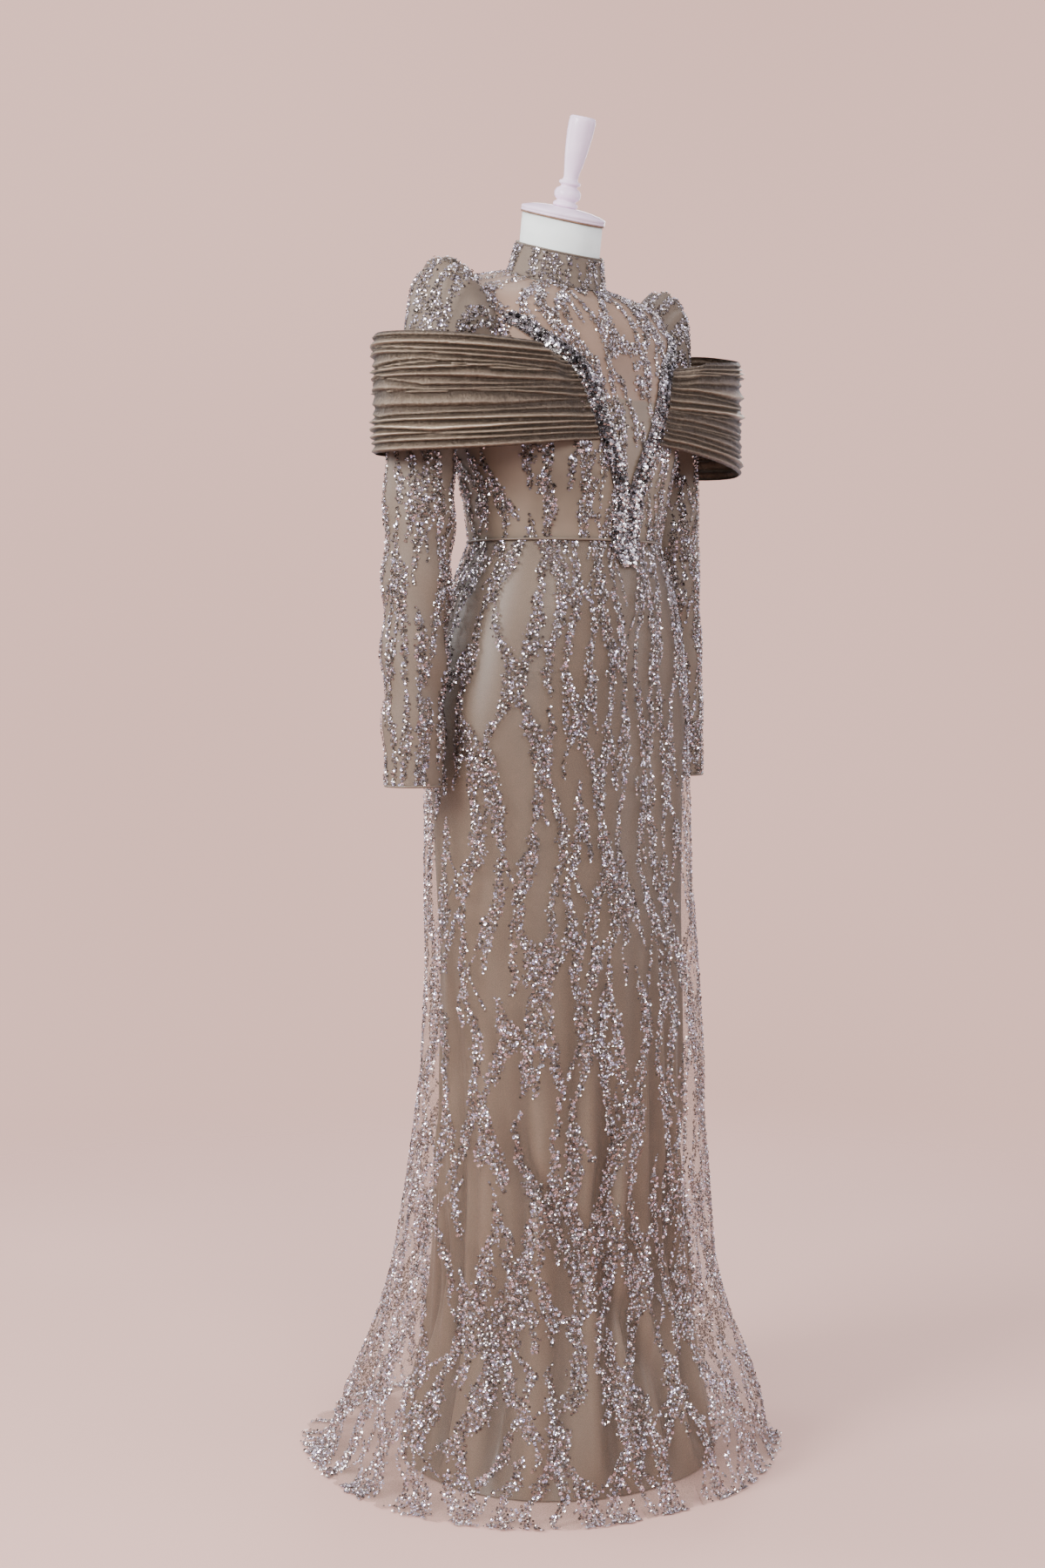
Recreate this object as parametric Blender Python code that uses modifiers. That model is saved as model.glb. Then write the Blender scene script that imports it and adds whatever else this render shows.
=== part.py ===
"""An evening gown of beaded tulle over satin, on a limbless dress form.

Metres, +Z up, the gown's front towards -Y and the wearer's left towards +X. The hem's middle is at
the origin, on the floor. Cloth is a wall between two grids of points, which functions work out from
the section tables below, so that what lies on a panel follows the panel.
"""

import math

import bmesh
import bpy
from mathutils import Matrix, Vector

# ---- Driving sizes -------------------------------------------------------------------------------
WALL = 0.0012  # tulle, satin and net, as built
SEAM = 0.0003  # between pieces that are sewn together
AXIS = Vector((0.006, -0.048, 0.0))  # the form's axis, ahead of the middle of the swept hem
WAIST = 1.113
FULL_TURN = 2.0 * math.pi

# The bodice's outer face. Height is that of the section's middle, and tilt brings its front down.
BODY_COLUMNS = ("height", "middle", "tilt", "half_width", "front", "back", "roundness")
BODY_SECTIONS = (
    (WAIST, 0.000, 0.0, 0.126, 0.1005, 0.0980, 2.1),
    (1.155, 0.000, 0.0, 0.133, 0.1060, 0.0980, 2.2),
    (1.200, 0.000, 0.0, 0.143, 0.1100, 0.1000, 2.3),
    (1.245, 0.000, 0.0, 0.152, 0.1125, 0.1030, 2.3),
    (1.297, 0.000, 0.0, 0.157, 0.1100, 0.1050, 2.3),
    (1.342, 0.004, 4.0, 0.159, 0.1020, 0.1010, 2.3),
    (1.380, 0.010, 9.0, 0.158, 0.0930, 0.0910, 2.3),
    (1.412, 0.014, 14.0, 0.148, 0.0780, 0.0750, 2.2),
    (1.422, 0.014, 16.0, 0.108, 0.0690, 0.0660, 2.1),
    (1.430, 0.014, 17.0, 0.0605, 0.0605, 0.0605, 2.0),
)
BODY_ROWS_BELOW_ARM = (WAIST, 1.155, 1.200, 1.245)
BODY_ROWS_ABOVE_ARM = (1.417, 1.422, 1.426, 1.430)
FRONT_COLUMNS = 12
BACK_COLUMNS = 6

# The armhole, an oval round the height and depth of the shoulder joint
ARMHOLE_HEIGHT = 1.3545
ARMHOLE_HALF_HEIGHT = 0.0575
ARMHOLE_DEPTH = 0.012
ARMHOLE_HALF_DEPTH = 0.050
SLEEVE_SIDES = 16

# The right sleeve's rings below the armhole. Each lies across the arm from its outer to its inner point.
SLEEVE_COLUMNS = ("outer_x", "outer_z", "inner_x", "inner_z", "middle", "half_depth")
SLEEVE_RINGS = (
    (0.168, 1.428, 0.1630, 1.2950, 0.014, 0.0520),
    (0.184, 1.436, 0.1660, 1.2900, 0.016, 0.0530),
    (0.199, 1.427, 0.1680, 1.2820, 0.018, 0.0510),
    (0.209, 1.405, 0.1695, 1.2700, 0.019, 0.0475),
    (0.217, 1.370, 0.1705, 1.2560, 0.020, 0.0440),
    (0.229, 1.325, 0.1715, 1.2360, 0.0215, 0.0420),
    (0.242, 1.265, 0.1720, 1.2080, 0.024, 0.0410),
    (0.250, 1.180, 0.1725, 1.1650, 0.026, 0.0405),
    (0.253, 1.080, 0.1755, 1.0760, 0.026, 0.0395),
    (0.257, 0.970, 0.1840, 0.9700, 0.024, 0.0370),
    (0.2585, 0.829, 0.1925, 0.8290, 0.0205, 0.0330),
)
CUFF_BINDING_RADIUS = 0.0016

# The skirt's outer face, from the waist seam to the hem that lies on the floor
SKIRT_COLUMNS = ("height", "aside", "half_width", "front", "back", "fold")
SKIRT_SECTIONS = (
    (WALL, -0.0060, 0.292, 0.2520, 0.3500, 0.0040),
    (0.0018, -0.0060, 0.270, 0.2450, 0.3120, 0.0060),
    (0.0200, -0.0055, 0.258, 0.2390, 0.2970, 0.0080),
    (0.0600, -0.0045, 0.247, 0.2320, 0.2800, 0.0095),
    (0.1050, -0.0035, 0.232, 0.2170, 0.2580, 0.0095),
    (0.1650, -0.0020, 0.213, 0.1820, 0.2330, 0.0085),
    (0.2300, -0.0010, 0.201, 0.1580, 0.2110, 0.0070),
    (0.3100, 0.0000, 0.193, 0.1520, 0.1950, 0.0055),
    (0.4000, 0.0000, 0.185, 0.1520, 0.1770, 0.0035),
    (0.5000, 0.0000, 0.181, 0.1500, 0.1590, 0.0015),
    (0.6200, 0.0000, 0.180, 0.1380, 0.1480, 0.0000),
    (0.7400, 0.0000, 0.182, 0.1200, 0.1450, 0.0000),
    (0.8600, 0.0000, 0.183, 0.1130, 0.1420, 0.0000),
    (0.9300, 0.0000, 0.179, 0.1130, 0.1390, 0.0000),
    (0.9950, 0.0000, 0.166, 0.1140, 0.1300, 0.0000),
    (1.0550, 0.0000, 0.148, 0.1120, 0.1180, 0.0000),
    (WAIST, 0.0000, 0.126, 0.1005, 0.0980, 0.0000),
)
SKIRT_ROUNDNESS = 2.1
SKIRT_SEGMENTS = 36

# The lining skirt's outer face, a narrower column inside the tulle one
LINING_SECTIONS = (
    (0.0020, 0.0, 0.192, 0.1750, 0.2050, 0.0),
    (0.0500, 0.0, 0.178, 0.1640, 0.1900, 0.0),
    (0.1500, 0.0, 0.160, 0.1440, 0.1680, 0.0),
    (0.3000, 0.0, 0.152, 0.1340, 0.1520, 0.0),
    (0.4600, 0.0, 0.151, 0.1300, 0.1440, 0.0),
    (0.6200, 0.0, 0.158, 0.1240, 0.1380, 0.0),
    (0.7800, 0.0, 0.171, 0.1110, 0.1370, 0.0),
    (0.9000, 0.0, 0.176, 0.1080, 0.1350, 0.0),
    (0.9950, 0.0, 0.161, 0.1090, 0.1250, 0.0),
    (1.0550, 0.0, 0.144, 0.1075, 0.1135, 0.0),
    (WAIST, 0.0, 0.1238, 0.0983, 0.0958, 0.0),
)
LINING_SEGMENTS = 28

# The jewelled trim's middle line on the wearer's left, from the waist point up to the shoulder
TRIM_COLUMNS = ("height", "x", "half_width")
TRIM_LINE = (
    (1.082, 0.0048, 0.0040),
    (1.096, 0.0085, 0.0078),
    (WAIST, 0.0104, 0.0098),
    (1.165, 0.0120, 0.0100),
    (1.200, 0.0225, 0.0100),
    (1.232, 0.0390, 0.0100),
    (1.272, 0.0550, 0.0100),
    (1.297, 0.0640, 0.0100),
    (1.322, 0.0780, 0.0100),
    (1.340, 0.0960, 0.0095),
    (1.360, 0.1180, 0.0090),
    (1.378, 0.1370, 0.0080),
)
TRIM_THICKNESS = 0.0045
TRIM_LIFT = 0.0012  # off the cloth, clear of its facets

# The pleated shoulder bands. A turn of 0 is at the trim and 1 at the centre back.
BAND_COLUMNS = ("turn", "bottom", "top_right", "top_left")
BAND_HEIGHTS = (
    (0.00, 1.228, 1.333, 1.331),
    (0.25, 1.209, 1.338, 1.350),
    (0.50, 1.206, 1.342, 1.366),
    (0.75, 1.211, 1.342, 1.358),
    (1.00, 1.225, 1.335, 1.335),
)
BAND_HALF_WIDTH = 0.286
BAND_FRONT = 0.137
BAND_BACK = 0.122
BAND_SEWN_SHARE = 0.28  # of its length, over which each end leaves the bodice
BAND_GAP = 0.0028  # from the trim's edge
BAND_LIFT = 0.0046  # off the bodice where it is sewn down
BAND_WALL = 0.0016
BAND_SEGMENTS = 18
PLEATS = 6
PLEAT_DEPTH = 0.0024

# The neck, which leans forwards, with the stand collar round it
NECK_FOOT = Vector((0.0, 0.014, 1.430))
NECK_LEAN = math.radians(8.0)
NECK_TILT = math.radians(17.0)  # of the rings across it: the seam, the collar's edge and the cap
NECK_SIDES = 32
NECK_ANGLES = [FULL_TURN * side / NECK_SIDES for side in range(NECK_SIDES)]
NECK_RADIUS = 0.0493
NECK_LENGTH = 0.075
NECK_FLARE = ((0.0550, 0.0040), (0.0505, 0.0120), (NECK_RADIUS, 0.0240), (NECK_RADIUS, NECK_LENGTH))
COLLAR_HEIGHT = 0.0350
COLLAR_FOOT_RADIUS = 0.0605
COLLAR_TOP_RADIUS = 0.0535
COLLAR_BINDING_RADIUS = 0.0014
PIPING_RADIUS = 0.0014

# The dress form under the gown, and its stand
FORM_BOTTOM = 0.780
FORM_HIP_ROWS = (FORM_BOTTOM, 0.860, 0.930, 0.995, 1.055)
FORM_SEAT = WALL + 0.0010  # under the outer face of the cloth, at the shoulders that carry it
FORM_EASES = (  # height, and how far the form lies inside the outer face of the cloth
    (FORM_BOTTOM, 0.0140),
    (1.0000, 0.0130),
    (WAIST, 0.0068),
    (1.2000, 0.0060),
    (1.2970, 0.0075),
    (1.4120, 0.0075),
    (1.4170, 0.0055),
    (1.4220, FORM_SEAT),
    (1.4300, FORM_SEAT),
)
CAP_RADIUS = 0.0515
CAP_THICKNESS = 0.0070
CAP_DOME = 0.0060
FINIAL_PROFILE = (  # radius and height of the turned finial, from its foot up
    (0.0000, 0.0000),
    (0.0145, 0.0000),
    (0.0145, 0.0055),
    (0.0110, 0.0080),
    (0.0150, 0.0120),
    (0.0160, 0.0175),
    (0.0140, 0.0235),
    (0.0095, 0.0275),
    (0.0090, 0.0305),
    (0.0100, 0.0370),
    (0.0125, 0.0530),
    (0.0148, 0.0740),
    (0.0158, 0.0930),
    (0.0155, 0.1035),
    (0.0140, 0.1060),
    (0.0000, 0.1065),
)
POLE_RADIUS = 0.0125
BASE_RADIUS = 0.140
BASE_THICKNESS = 0.014
TURNED_SIDES = 32

SATIN = ("satin_lining", (0.37, 0.29, 0.21), 0.38, 0.0)
TULLE = ("beaded_tulle", (0.40, 0.35, 0.31), 0.45, 0.25)
PLEATED = ("pleated_lame", (0.33, 0.26, 0.18), 0.36, 0.6)
JEWELS = ("jewel_trim", (0.16, 0.15, 0.16), 0.25, 0.8)
BINDING = ("satin_binding", (0.46, 0.38, 0.30), 0.42, 0.0)
JERSEY = ("form_jersey", (0.76, 0.78, 0.76), 0.85, 0.0)
PAINTED_WOOD = ("painted_wood", (0.72, 0.66, 0.72), 0.45, 0.0)
POLE_STEEL = ("pole_steel", (0.62, 0.62, 0.63), 0.30, 1.0)

gown = bpy.data.collections.new("evening_gown")


# ---- Meshes --------------------------------------------------------------------------------------
def material(finish):
    """The material of a finish, made once."""
    name, colour, roughness, metallic = finish
    made = bpy.data.materials.get(name)
    if made:
        return made
    made = bpy.data.materials.new(name)
    made.use_nodes = True
    shader = made.node_tree.nodes["Principled BSDF"]
    shader.inputs["Base Color"].default_value = (*colour, 1.0)
    shader.inputs["Roughness"].default_value = roughness
    shader.inputs["Metallic"].default_value = metallic
    return made


def add_object(name, data, finish):
    """A named object in the gown's collection, with its finish."""
    made = bpy.data.objects.new(name, data)
    gown.objects.link(made)
    if not data.materials:
        data.materials.append(material(finish))
    return made


def add_mesh(name, points, faces, finish):
    """A closed mesh object, its faces turned outwards."""
    shape = bmesh.new()
    corners = [shape.verts.new(point) for point in points]
    for face in faces:
        shape.faces.new([corners[index] for index in face])
    bmesh.ops.recalc_face_normals(shape, faces=shape.faces)
    mesh = bpy.data.meshes.new(name)
    shape.to_mesh(mesh)
    shape.free()
    return add_object(name, mesh, finish)


def add_wall(name, outer, inner, finish, closed=False):
    """Cloth between two grids of points, rows of equal length, edged all round. A closed one is a tube."""
    rows = len(outer)
    columns = len(outer[0])
    steps = columns if closed else columns - 1
    points = [point for grid in (outer, inner) for row in grid for point in row]

    def corner(side, row, column):
        return (side * rows + row) * columns + column % columns

    faces = []
    for row in range(rows - 1):
        for column in range(steps):
            for side in (0, 1):
                faces.append((
                    corner(side, row, column),
                    corner(side, row, column + 1),
                    corner(side, row + 1, column + 1),
                    corner(side, row + 1, column),
                ))
    for row in (0, rows - 1):
        for column in range(steps):
            faces.append((
                corner(0, row, column),
                corner(0, row, column + 1),
                corner(1, row, column + 1),
                corner(1, row, column),
            ))
    if not closed:
        for column in (0, columns - 1):
            for row in range(rows - 1):
                faces.append((
                    corner(0, row, column),
                    corner(0, row + 1, column),
                    corner(1, row + 1, column),
                    corner(1, row, column),
                ))
    return add_mesh(name, points, faces, finish)


def add_tube(name, points, radius, finish, closed):
    """A cord sewn along an edge: a bevelled curve through its points."""
    curve = bpy.data.curves.new(name, "CURVE")
    curve.dimensions = "3D"
    curve.bevel_depth = radius
    curve.bevel_resolution = 1
    curve.use_fill_caps = not closed
    spline = curve.splines.new("POLY")
    spline.points.add(len(points) - 1)
    for place, point in zip(spline.points, points):
        place.co = (*point, 1.0)
    spline.use_cyclic_u = closed
    return add_object(name, curve, finish)


def add_turned(name, profile, finish, place, lean=0.0):
    """A profile of radii and heights, foot first, turned about an axis that stands at a place."""
    mesh = bpy.data.meshes.new(name)
    points = [(radius, 0.0, height) for radius, height in reversed(profile)]
    mesh.from_pydata(points, [(index, index + 1) for index in range(len(points) - 1)], [])
    made = add_object(name, mesh, finish)
    made.location = place
    made.rotation_euler = (lean, 0.0, 0.0)
    turn = made.modifiers.new("Turn", "SCREW")
    turn.steps = TURNED_SIDES
    turn.render_steps = TURNED_SIDES
    turn.use_merge_vertices = True
    turn.merge_threshold = 0.00005
    return made


# ---- Tables and surfaces -------------------------------------------------------------------------
def smooth_row(table, columns, key):
    """Every column of a table at one value of its first, on a smooth curve through the rows."""
    last = len(table) - 2
    index = min(max(sum(row[0] <= key for row in table) - 1, 0), last)
    start, end = table[index], table[index + 1]
    before = table[max(index - 1, 0)]
    after = table[min(index + 2, last + 1)]
    span = end[0] - start[0]
    share = (key - start[0]) / span
    found = {}
    for column, name in enumerate(columns):
        leaving = (end[column] - before[column]) / (end[0] - before[0]) * span
        arriving = (after[column] - start[column]) / (after[0] - start[0]) * span
        rise = end[column] - start[column]
        bend = (1.0 - share) * (leaving - rise) - share * (arriving - rise)
        found[name] = start[column] + rise * share + share * (1.0 - share) * bend
    return found


def straight_value(table, key):
    """The second column of a table at a value of its first, on straight lines between the rows."""
    for start, end in zip(table, table[1:]):
        if key <= end[0]:
            share = (key - start[0]) / (end[0] - start[0])
            return start[1] + (end[1] - start[1]) * share
    return table[-1][1]


def oval_radius(angle, half_width, depth, roundness):
    """How far an oval's edge lies from its middle. An angle of 0 is the front, a quarter turn the left."""
    across = abs(math.sin(angle) / half_width) ** roundness
    along = abs(math.cos(angle) / depth) ** roundness
    return (across + along) ** (-1.0 / roundness)


def oval_offset(angle, row, roundness):
    """The point of a section's outline, from the section's middle."""
    depth = row["front"] if math.cos(angle) > 0.0 else row["back"]
    radius = oval_radius(angle, row["half_width"], depth, roundness)
    return radius * math.sin(angle), -radius * math.cos(angle)


def body_surface(angle, height):
    """The bodice's outer face."""
    row = smooth_row(BODY_SECTIONS, BODY_COLUMNS, height)
    across, along = oval_offset(angle, row, row["roundness"])
    tilt = math.radians(row["tilt"])
    return AXIS + Vector((across, row["middle"] + along * math.cos(tilt), height + along * math.sin(tilt)))


def body_from_behind(angle, height):
    """The bodice's outer face, with its angle counted from the centre back."""
    return body_surface(math.pi - angle, height)


def fold_wave(angle):
    """The skirt's soft folds round its hem, from -1 to 1, deeper at some places than at others."""
    return 0.55 * math.sin(7.0 * angle + 0.6) + 0.30 * math.sin(4.0 * angle + 2.1) + 0.15 * math.sin(angle)


def skirt_surface(angle, height, table=SKIRT_SECTIONS):
    """The outer face of the tulle skirt, or of the lining skirt with its table."""
    row = smooth_row(table, SKIRT_COLUMNS, height)
    across, along = oval_offset(angle, row, SKIRT_ROUNDNESS)
    spread = 1.0 + row["fold"] * fold_wave(angle) / row["half_width"]
    return AXIS + Vector((row["aside"] + across * spread, along * spread, height))


def lining_surface(angle, height):
    """The lining skirt's outer face."""
    return skirt_surface(angle, height, LINING_SECTIONS)


def moved_out(surface, first, second, distance):
    """A point of a surface, moved along its normal, away from the form's axis."""
    step = 0.0005
    point = surface(first, second)
    turned = surface(first + step, second) - surface(first - step, second)
    raised = surface(first, second + step) - surface(first, second - step)
    normal = turned.cross(raised).normalized()
    return point + normal * distance


def angle_where(surface, height, axis, wanted, low, high):
    """The angle between two others at which a surface reaches a wanted x or y. Both grow with the angle."""
    for _ in range(40):
        middle = 0.5 * (low + high)
        if (surface(middle, height) - AXIS)[axis] < wanted:
            low = middle
        else:
            high = middle
    return low


def spread_evenly(start, end, steps):
    """Values from start to end, both included."""
    return [start + (end - start) * step / steps for step in range(steps + 1)]


# ---- Bodice --------------------------------------------------------------------------------------
def armhole_turns():
    """Angles round the armhole from its lowest point, up its back and down its front."""
    return [FULL_TURN * side / SLEEVE_SIDES - 0.5 * math.pi for side in range(SLEEVE_SIDES)]


def bodice_rows():
    """Section heights from the waist to the neck. Those beside the armhole match the sleeve's points."""
    beside = spread_evenly(-0.5 * math.pi, 0.5 * math.pi, SLEEVE_SIDES // 2)
    arm = [ARMHOLE_HEIGHT + ARMHOLE_HALF_HEIGHT * math.sin(turn) for turn in beside]
    return [*BODY_ROWS_BELOW_ARM, *arm, *BODY_ROWS_ABOVE_ARM]


def edge_angle(height, way):
    """Where a bodice panel ends: at the side seam, the armhole or the shoulder seam."""
    share = (height - ARMHOLE_HEIGHT) / ARMHOLE_HALF_HEIGHT
    opening = ARMHOLE_HALF_DEPTH * math.sqrt(max(0.0, 1.0 - share * share))
    depth = ARMHOLE_DEPTH + way * (opening + 0.5 * SEAM)
    return angle_where(body_surface, height, 1, depth, 0.0, math.pi)


def bodice_grid(start, end, columns, distance):
    """Points of a panel between two edges, each an angle for a height, moved out by a distance."""
    grid = []
    for height in bodice_rows():
        lifted = max(height, WAIST + 0.5 * SEAM)
        angles = spread_evenly(start(height), end(height), columns)
        grid.append([moved_out(body_surface, angle, lifted, distance) for angle in angles])
    return grid


def make_bodice():
    """The front, and two backs that meet at the centre-back closure."""
    def front_left(height):
        return edge_angle(height, -1)

    def back_left(height):
        return edge_angle(height, 1)

    def centre_back(height):
        return math.pi - 0.5 * SEAM / abs(body_surface(math.pi, height).y - AXIS.y)

    def front_right(height):
        return -front_left(height)

    def back_right(height):
        return FULL_TURN - back_left(height)

    def past_centre_back(height):
        return FULL_TURN - centre_back(height)

    panels = (
        ("bodice_front", front_right, front_left, FRONT_COLUMNS),
        ("bodice_back_left", back_left, centre_back, BACK_COLUMNS),
        ("bodice_back_right", past_centre_back, back_right, BACK_COLUMNS),
    )
    for name, start, end, columns in panels:
        outer = bodice_grid(start, end, columns, 0.0)
        inner = bodice_grid(start, end, columns, -WALL)
        add_wall(name, outer, inner, TULLE)


# ---- Sleeves -------------------------------------------------------------------------------------
def mirrored(point, side):
    """A point of the wearer's left, or its image on the right for a side of -1."""
    return Vector((AXIS.x + side * (point.x - AXIS.x), point.y, point.z))


def armhole_ring(distance):
    """The seam ring of the left sleeve, just off the armhole's edge, drawn in by a distance."""
    ring = []
    for turn in armhole_turns():
        height = ARMHOLE_HEIGHT + ARMHOLE_HALF_HEIGHT * math.sin(turn)
        way = 1 if math.cos(turn) > 0.0 else -1
        ring.append(moved_out(body_surface, edge_angle(height, way), height, SEAM))
    middle = sum(ring, Vector()) / len(ring)
    return [point + (middle - point).normalized() * distance for point in ring]


def sleeve_ring(row, distance):
    """A ring across the left arm, drawn in by a distance."""
    outer = Vector((row["outer_x"], row["middle"], row["outer_z"]))
    inner = Vector((row["inner_x"], row["middle"], row["inner_z"]))
    middle = AXIS + 0.5 * (outer + inner)
    half = 0.5 * (outer - inner)
    half -= half.normalized() * distance
    depth = Vector((0.0, row["half_depth"] - distance, 0.0))
    return [middle + half * math.sin(turn) + depth * math.cos(turn) for turn in armhole_turns()]


def make_sleeves():
    """Two sleeves with full heads, open at the armhole and the cuff, and their cuff bindings."""
    rows = [dict(zip(SLEEVE_COLUMNS, ring)) for ring in SLEEVE_RINGS]
    outer = [armhole_ring(0.0)] + [sleeve_ring(row, 0.0) for row in rows]
    inner = [armhole_ring(WALL)] + [sleeve_ring(row, WALL) for row in rows]
    cuff = dict(rows[-1])
    for key in ("outer_z", "inner_z"):
        cuff[key] -= CUFF_BINDING_RADIUS + SEAM
    bound = sleeve_ring(cuff, 0.5 * WALL)
    for side, wearer_side in ((1, "left"), (-1, "right")):
        outer_side = [[mirrored(point, side) for point in ring] for ring in outer]
        inner_side = [[mirrored(point, side) for point in ring] for ring in inner]
        bound_side = [mirrored(point, side) for point in bound]
        add_wall(f"sleeve_{wearer_side}", outer_side, inner_side, TULLE, closed=True)
        add_tube(f"cuff_binding_{wearer_side}", bound_side, CUFF_BINDING_RADIUS, BINDING, closed=True)


# ---- Skirts --------------------------------------------------------------------------------------
def skirt_wall(name, surface, heights, angles, finish):
    """A skirt panel between its first and last angle. Its inner face never goes below the floor."""
    outer = []
    inner = []
    for height in heights:
        outer.append([surface(angle, height) for angle in angles])
        inner.append([moved_out(surface, angle, height, -WALL) for angle in angles])
    for row in inner:
        for point in row:
            point.z = max(point.z, 0.0)
    add_wall(name, outer, inner, finish)


def make_skirts():
    """The tulle skirt in three panels, and the satin lining skirt in two."""
    side = edge_angle(WAIST, -1)
    gap = SEAM / BODY_SECTIONS[0][3]
    tulle_heights = [row[0] for row in SKIRT_SECTIONS[:-1]] + [WAIST - 0.5 * SEAM]
    lining_heights = [row[0] for row in LINING_SECTIONS[:-1]] + [WAIST - 0.5 * SEAM]
    half = SKIRT_SEGMENTS // 2
    front = spread_evenly(-side, side, half)
    back_left = spread_evenly(side + gap, math.pi - 0.5 * gap, half // 2)
    back_right = [FULL_TURN - angle for angle in reversed(back_left)]
    skirt_wall("skirt_front", skirt_surface, tulle_heights, front, TULLE)
    skirt_wall("skirt_back_left", skirt_surface, tulle_heights, back_left, TULLE)
    skirt_wall("skirt_back_right", skirt_surface, tulle_heights, back_right, TULLE)
    lining_front = spread_evenly(-side, side, LINING_SEGMENTS // 2)
    lining_back = spread_evenly(side + gap, FULL_TURN - side - gap, LINING_SEGMENTS // 2)
    skirt_wall("lining_front", lining_surface, lining_heights, lining_front, SATIN)
    skirt_wall("lining_back", lining_surface, lining_heights, lining_back, SATIN)


# ---- Trim, piping and collar ---------------------------------------------------------------------
def front_surface(angle, height):
    """The gown's outer face above and below the waist seam."""
    return body_surface(angle, height) if height >= WAIST else skirt_surface(angle, height)


def trim_row(height):
    """The jewelled trim's middle and half width at a height."""
    return smooth_row(TRIM_LINE, TRIM_COLUMNS, height)


def trim_point(height, share, distance):
    """A point across the left trim, from -1 at its lower edge to 1, off the cloth by a distance."""
    step = 0.002
    row = trim_row(height)
    lean = (trim_row(height + step)["x"] - trim_row(height - step)["x"]) / (2.0 * step)
    length = math.hypot(lean, 1.0)
    reach = share * row["half_width"] / length
    across = row["x"] - reach
    level = height + reach * lean
    angle = angle_where(front_surface, level, 0, across, 0.0, 0.5 * math.pi)
    return moved_out(front_surface, angle, level, distance)


def make_trim():
    """Two jewelled bands, from the shoulders to the point below the waist seam."""
    heights = [row[0] for row in TRIM_LINE]
    shares = (1.0, 0.0, -1.0)
    crowns = (0.6, 1.0, 0.6)
    outer = []
    inner = []
    for height in heights:
        outer.append([
            trim_point(height, share, TRIM_LIFT + TRIM_THICKNESS * crown)
            for share, crown in zip(shares, crowns)
        ])
        inner.append([trim_point(height, share, TRIM_LIFT) for share in shares])
    for side, wearer_side in ((1, "left"), (-1, "right")):
        outer_side = [[mirrored(point, side) for point in row] for row in outer]
        inner_side = [[mirrored(point, side) for point in row] for row in inner]
        add_wall(f"jewel_trim_{wearer_side}", outer_side, inner_side, JEWELS)


def make_waist_piping():
    """A cord over the waist seam, from one side of the trim's point round to the other."""
    start = angle_where(body_surface, WAIST, 0, 0.0240, 0.0, 0.5 * math.pi)
    angles = spread_evenly(start, FULL_TURN - start, SKIRT_SEGMENTS)
    lift = PIPING_RADIUS + 3.0 * SEAM
    points = [moved_out(body_surface, angle, WAIST + SEAM, lift) for angle in angles]
    add_tube("waist_piping", points, PIPING_RADIUS, BINDING, closed=False)


def up_the_neck(rise):
    """A point on the neck's axis, which leans forwards."""
    return AXIS + NECK_FOOT + Vector((0.0, -rise * math.sin(NECK_LEAN), rise * math.cos(NECK_LEAN)))


def neck_ring(radius, rise, angles=NECK_ANGLES):
    """A tilted circle round the neck, at a distance up it."""
    tilt = Matrix.Rotation(NECK_TILT, 3, "X")
    ring = []
    for angle in angles:
        around = Vector((radius * math.sin(angle), -radius * math.cos(angle), 0.0))
        ring.append(up_the_neck(rise) + tilt @ around)
    return ring


def make_collar():
    """The stand collar and the binding on its top edge."""
    levels = ((COLLAR_FOOT_RADIUS, SEAM), (COLLAR_TOP_RADIUS, COLLAR_HEIGHT))
    outer = [neck_ring(radius, rise) for radius, rise in levels]
    inner = [neck_ring(radius - WALL, rise) for radius, rise in levels]
    add_wall("collar", outer, inner, TULLE, closed=True)
    rise = COLLAR_HEIGHT + SEAM + COLLAR_BINDING_RADIUS
    bound = neck_ring(COLLAR_TOP_RADIUS - 0.5 * WALL, rise)
    add_tube("collar_binding", bound, COLLAR_BINDING_RADIUS, BINDING, closed=True)


# ---- Shoulder bands ------------------------------------------------------------------------------
def band_start(height):
    """How far from the centre front a band begins at a height: at the trim's outer edge."""
    step = 0.002
    lean = (trim_row(height + step)["x"] - trim_row(height - step)["x"]) / (2.0 * step)
    row = trim_row(height)
    return row["x"] + row["half_width"] * math.hypot(lean, 1.0) + BAND_GAP


def sewn_share(turn):
    """1 where a band is sewn to the bodice, at both ends, and 0 where it stands free round the arm."""
    near = min(turn, 1.0 - turn) / BAND_SEWN_SHARE
    free = min(near, 1.0)
    return 1.0 - free * free * (3.0 - 2.0 * free)


def band_surface(turn, share, top):
    """The middle face of a band on the left: turn runs from the trim to the centre back, share upwards."""
    row = smooth_row(BAND_HEIGHTS, BAND_COLUMNS, turn)
    height = row["bottom"] + (row[top] - row["bottom"]) * share
    first = math.asin(band_start(height) / BAND_HALF_WIDTH)
    last = math.pi - 1.5 * SEAM / BAND_BACK
    swing = first + (last - first) * turn
    depth = BAND_FRONT if swing < 0.5 * math.pi else BAND_BACK
    reach = BAND_HALF_WIDTH * math.sin(swing)
    free = Vector((reach, -depth * math.cos(swing), height)) + AXIS
    if sewn_share(turn) == 0.0:
        return free
    sewn_x = min(reach, 0.9 * smooth_row(BODY_SECTIONS, BODY_COLUMNS, height)["half_width"])
    if swing < 0.5 * math.pi:
        angle = angle_where(body_surface, height, 0, sewn_x, 0.0, 0.5 * math.pi)
    else:
        angle = math.pi - angle_where(body_from_behind, height, 0, sewn_x, 0.0, 0.5 * math.pi)
    sewn = moved_out(body_surface, angle, height, BAND_LIFT)
    sewn.x = free.x
    return free.lerp(sewn, sewn_share(turn))


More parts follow.
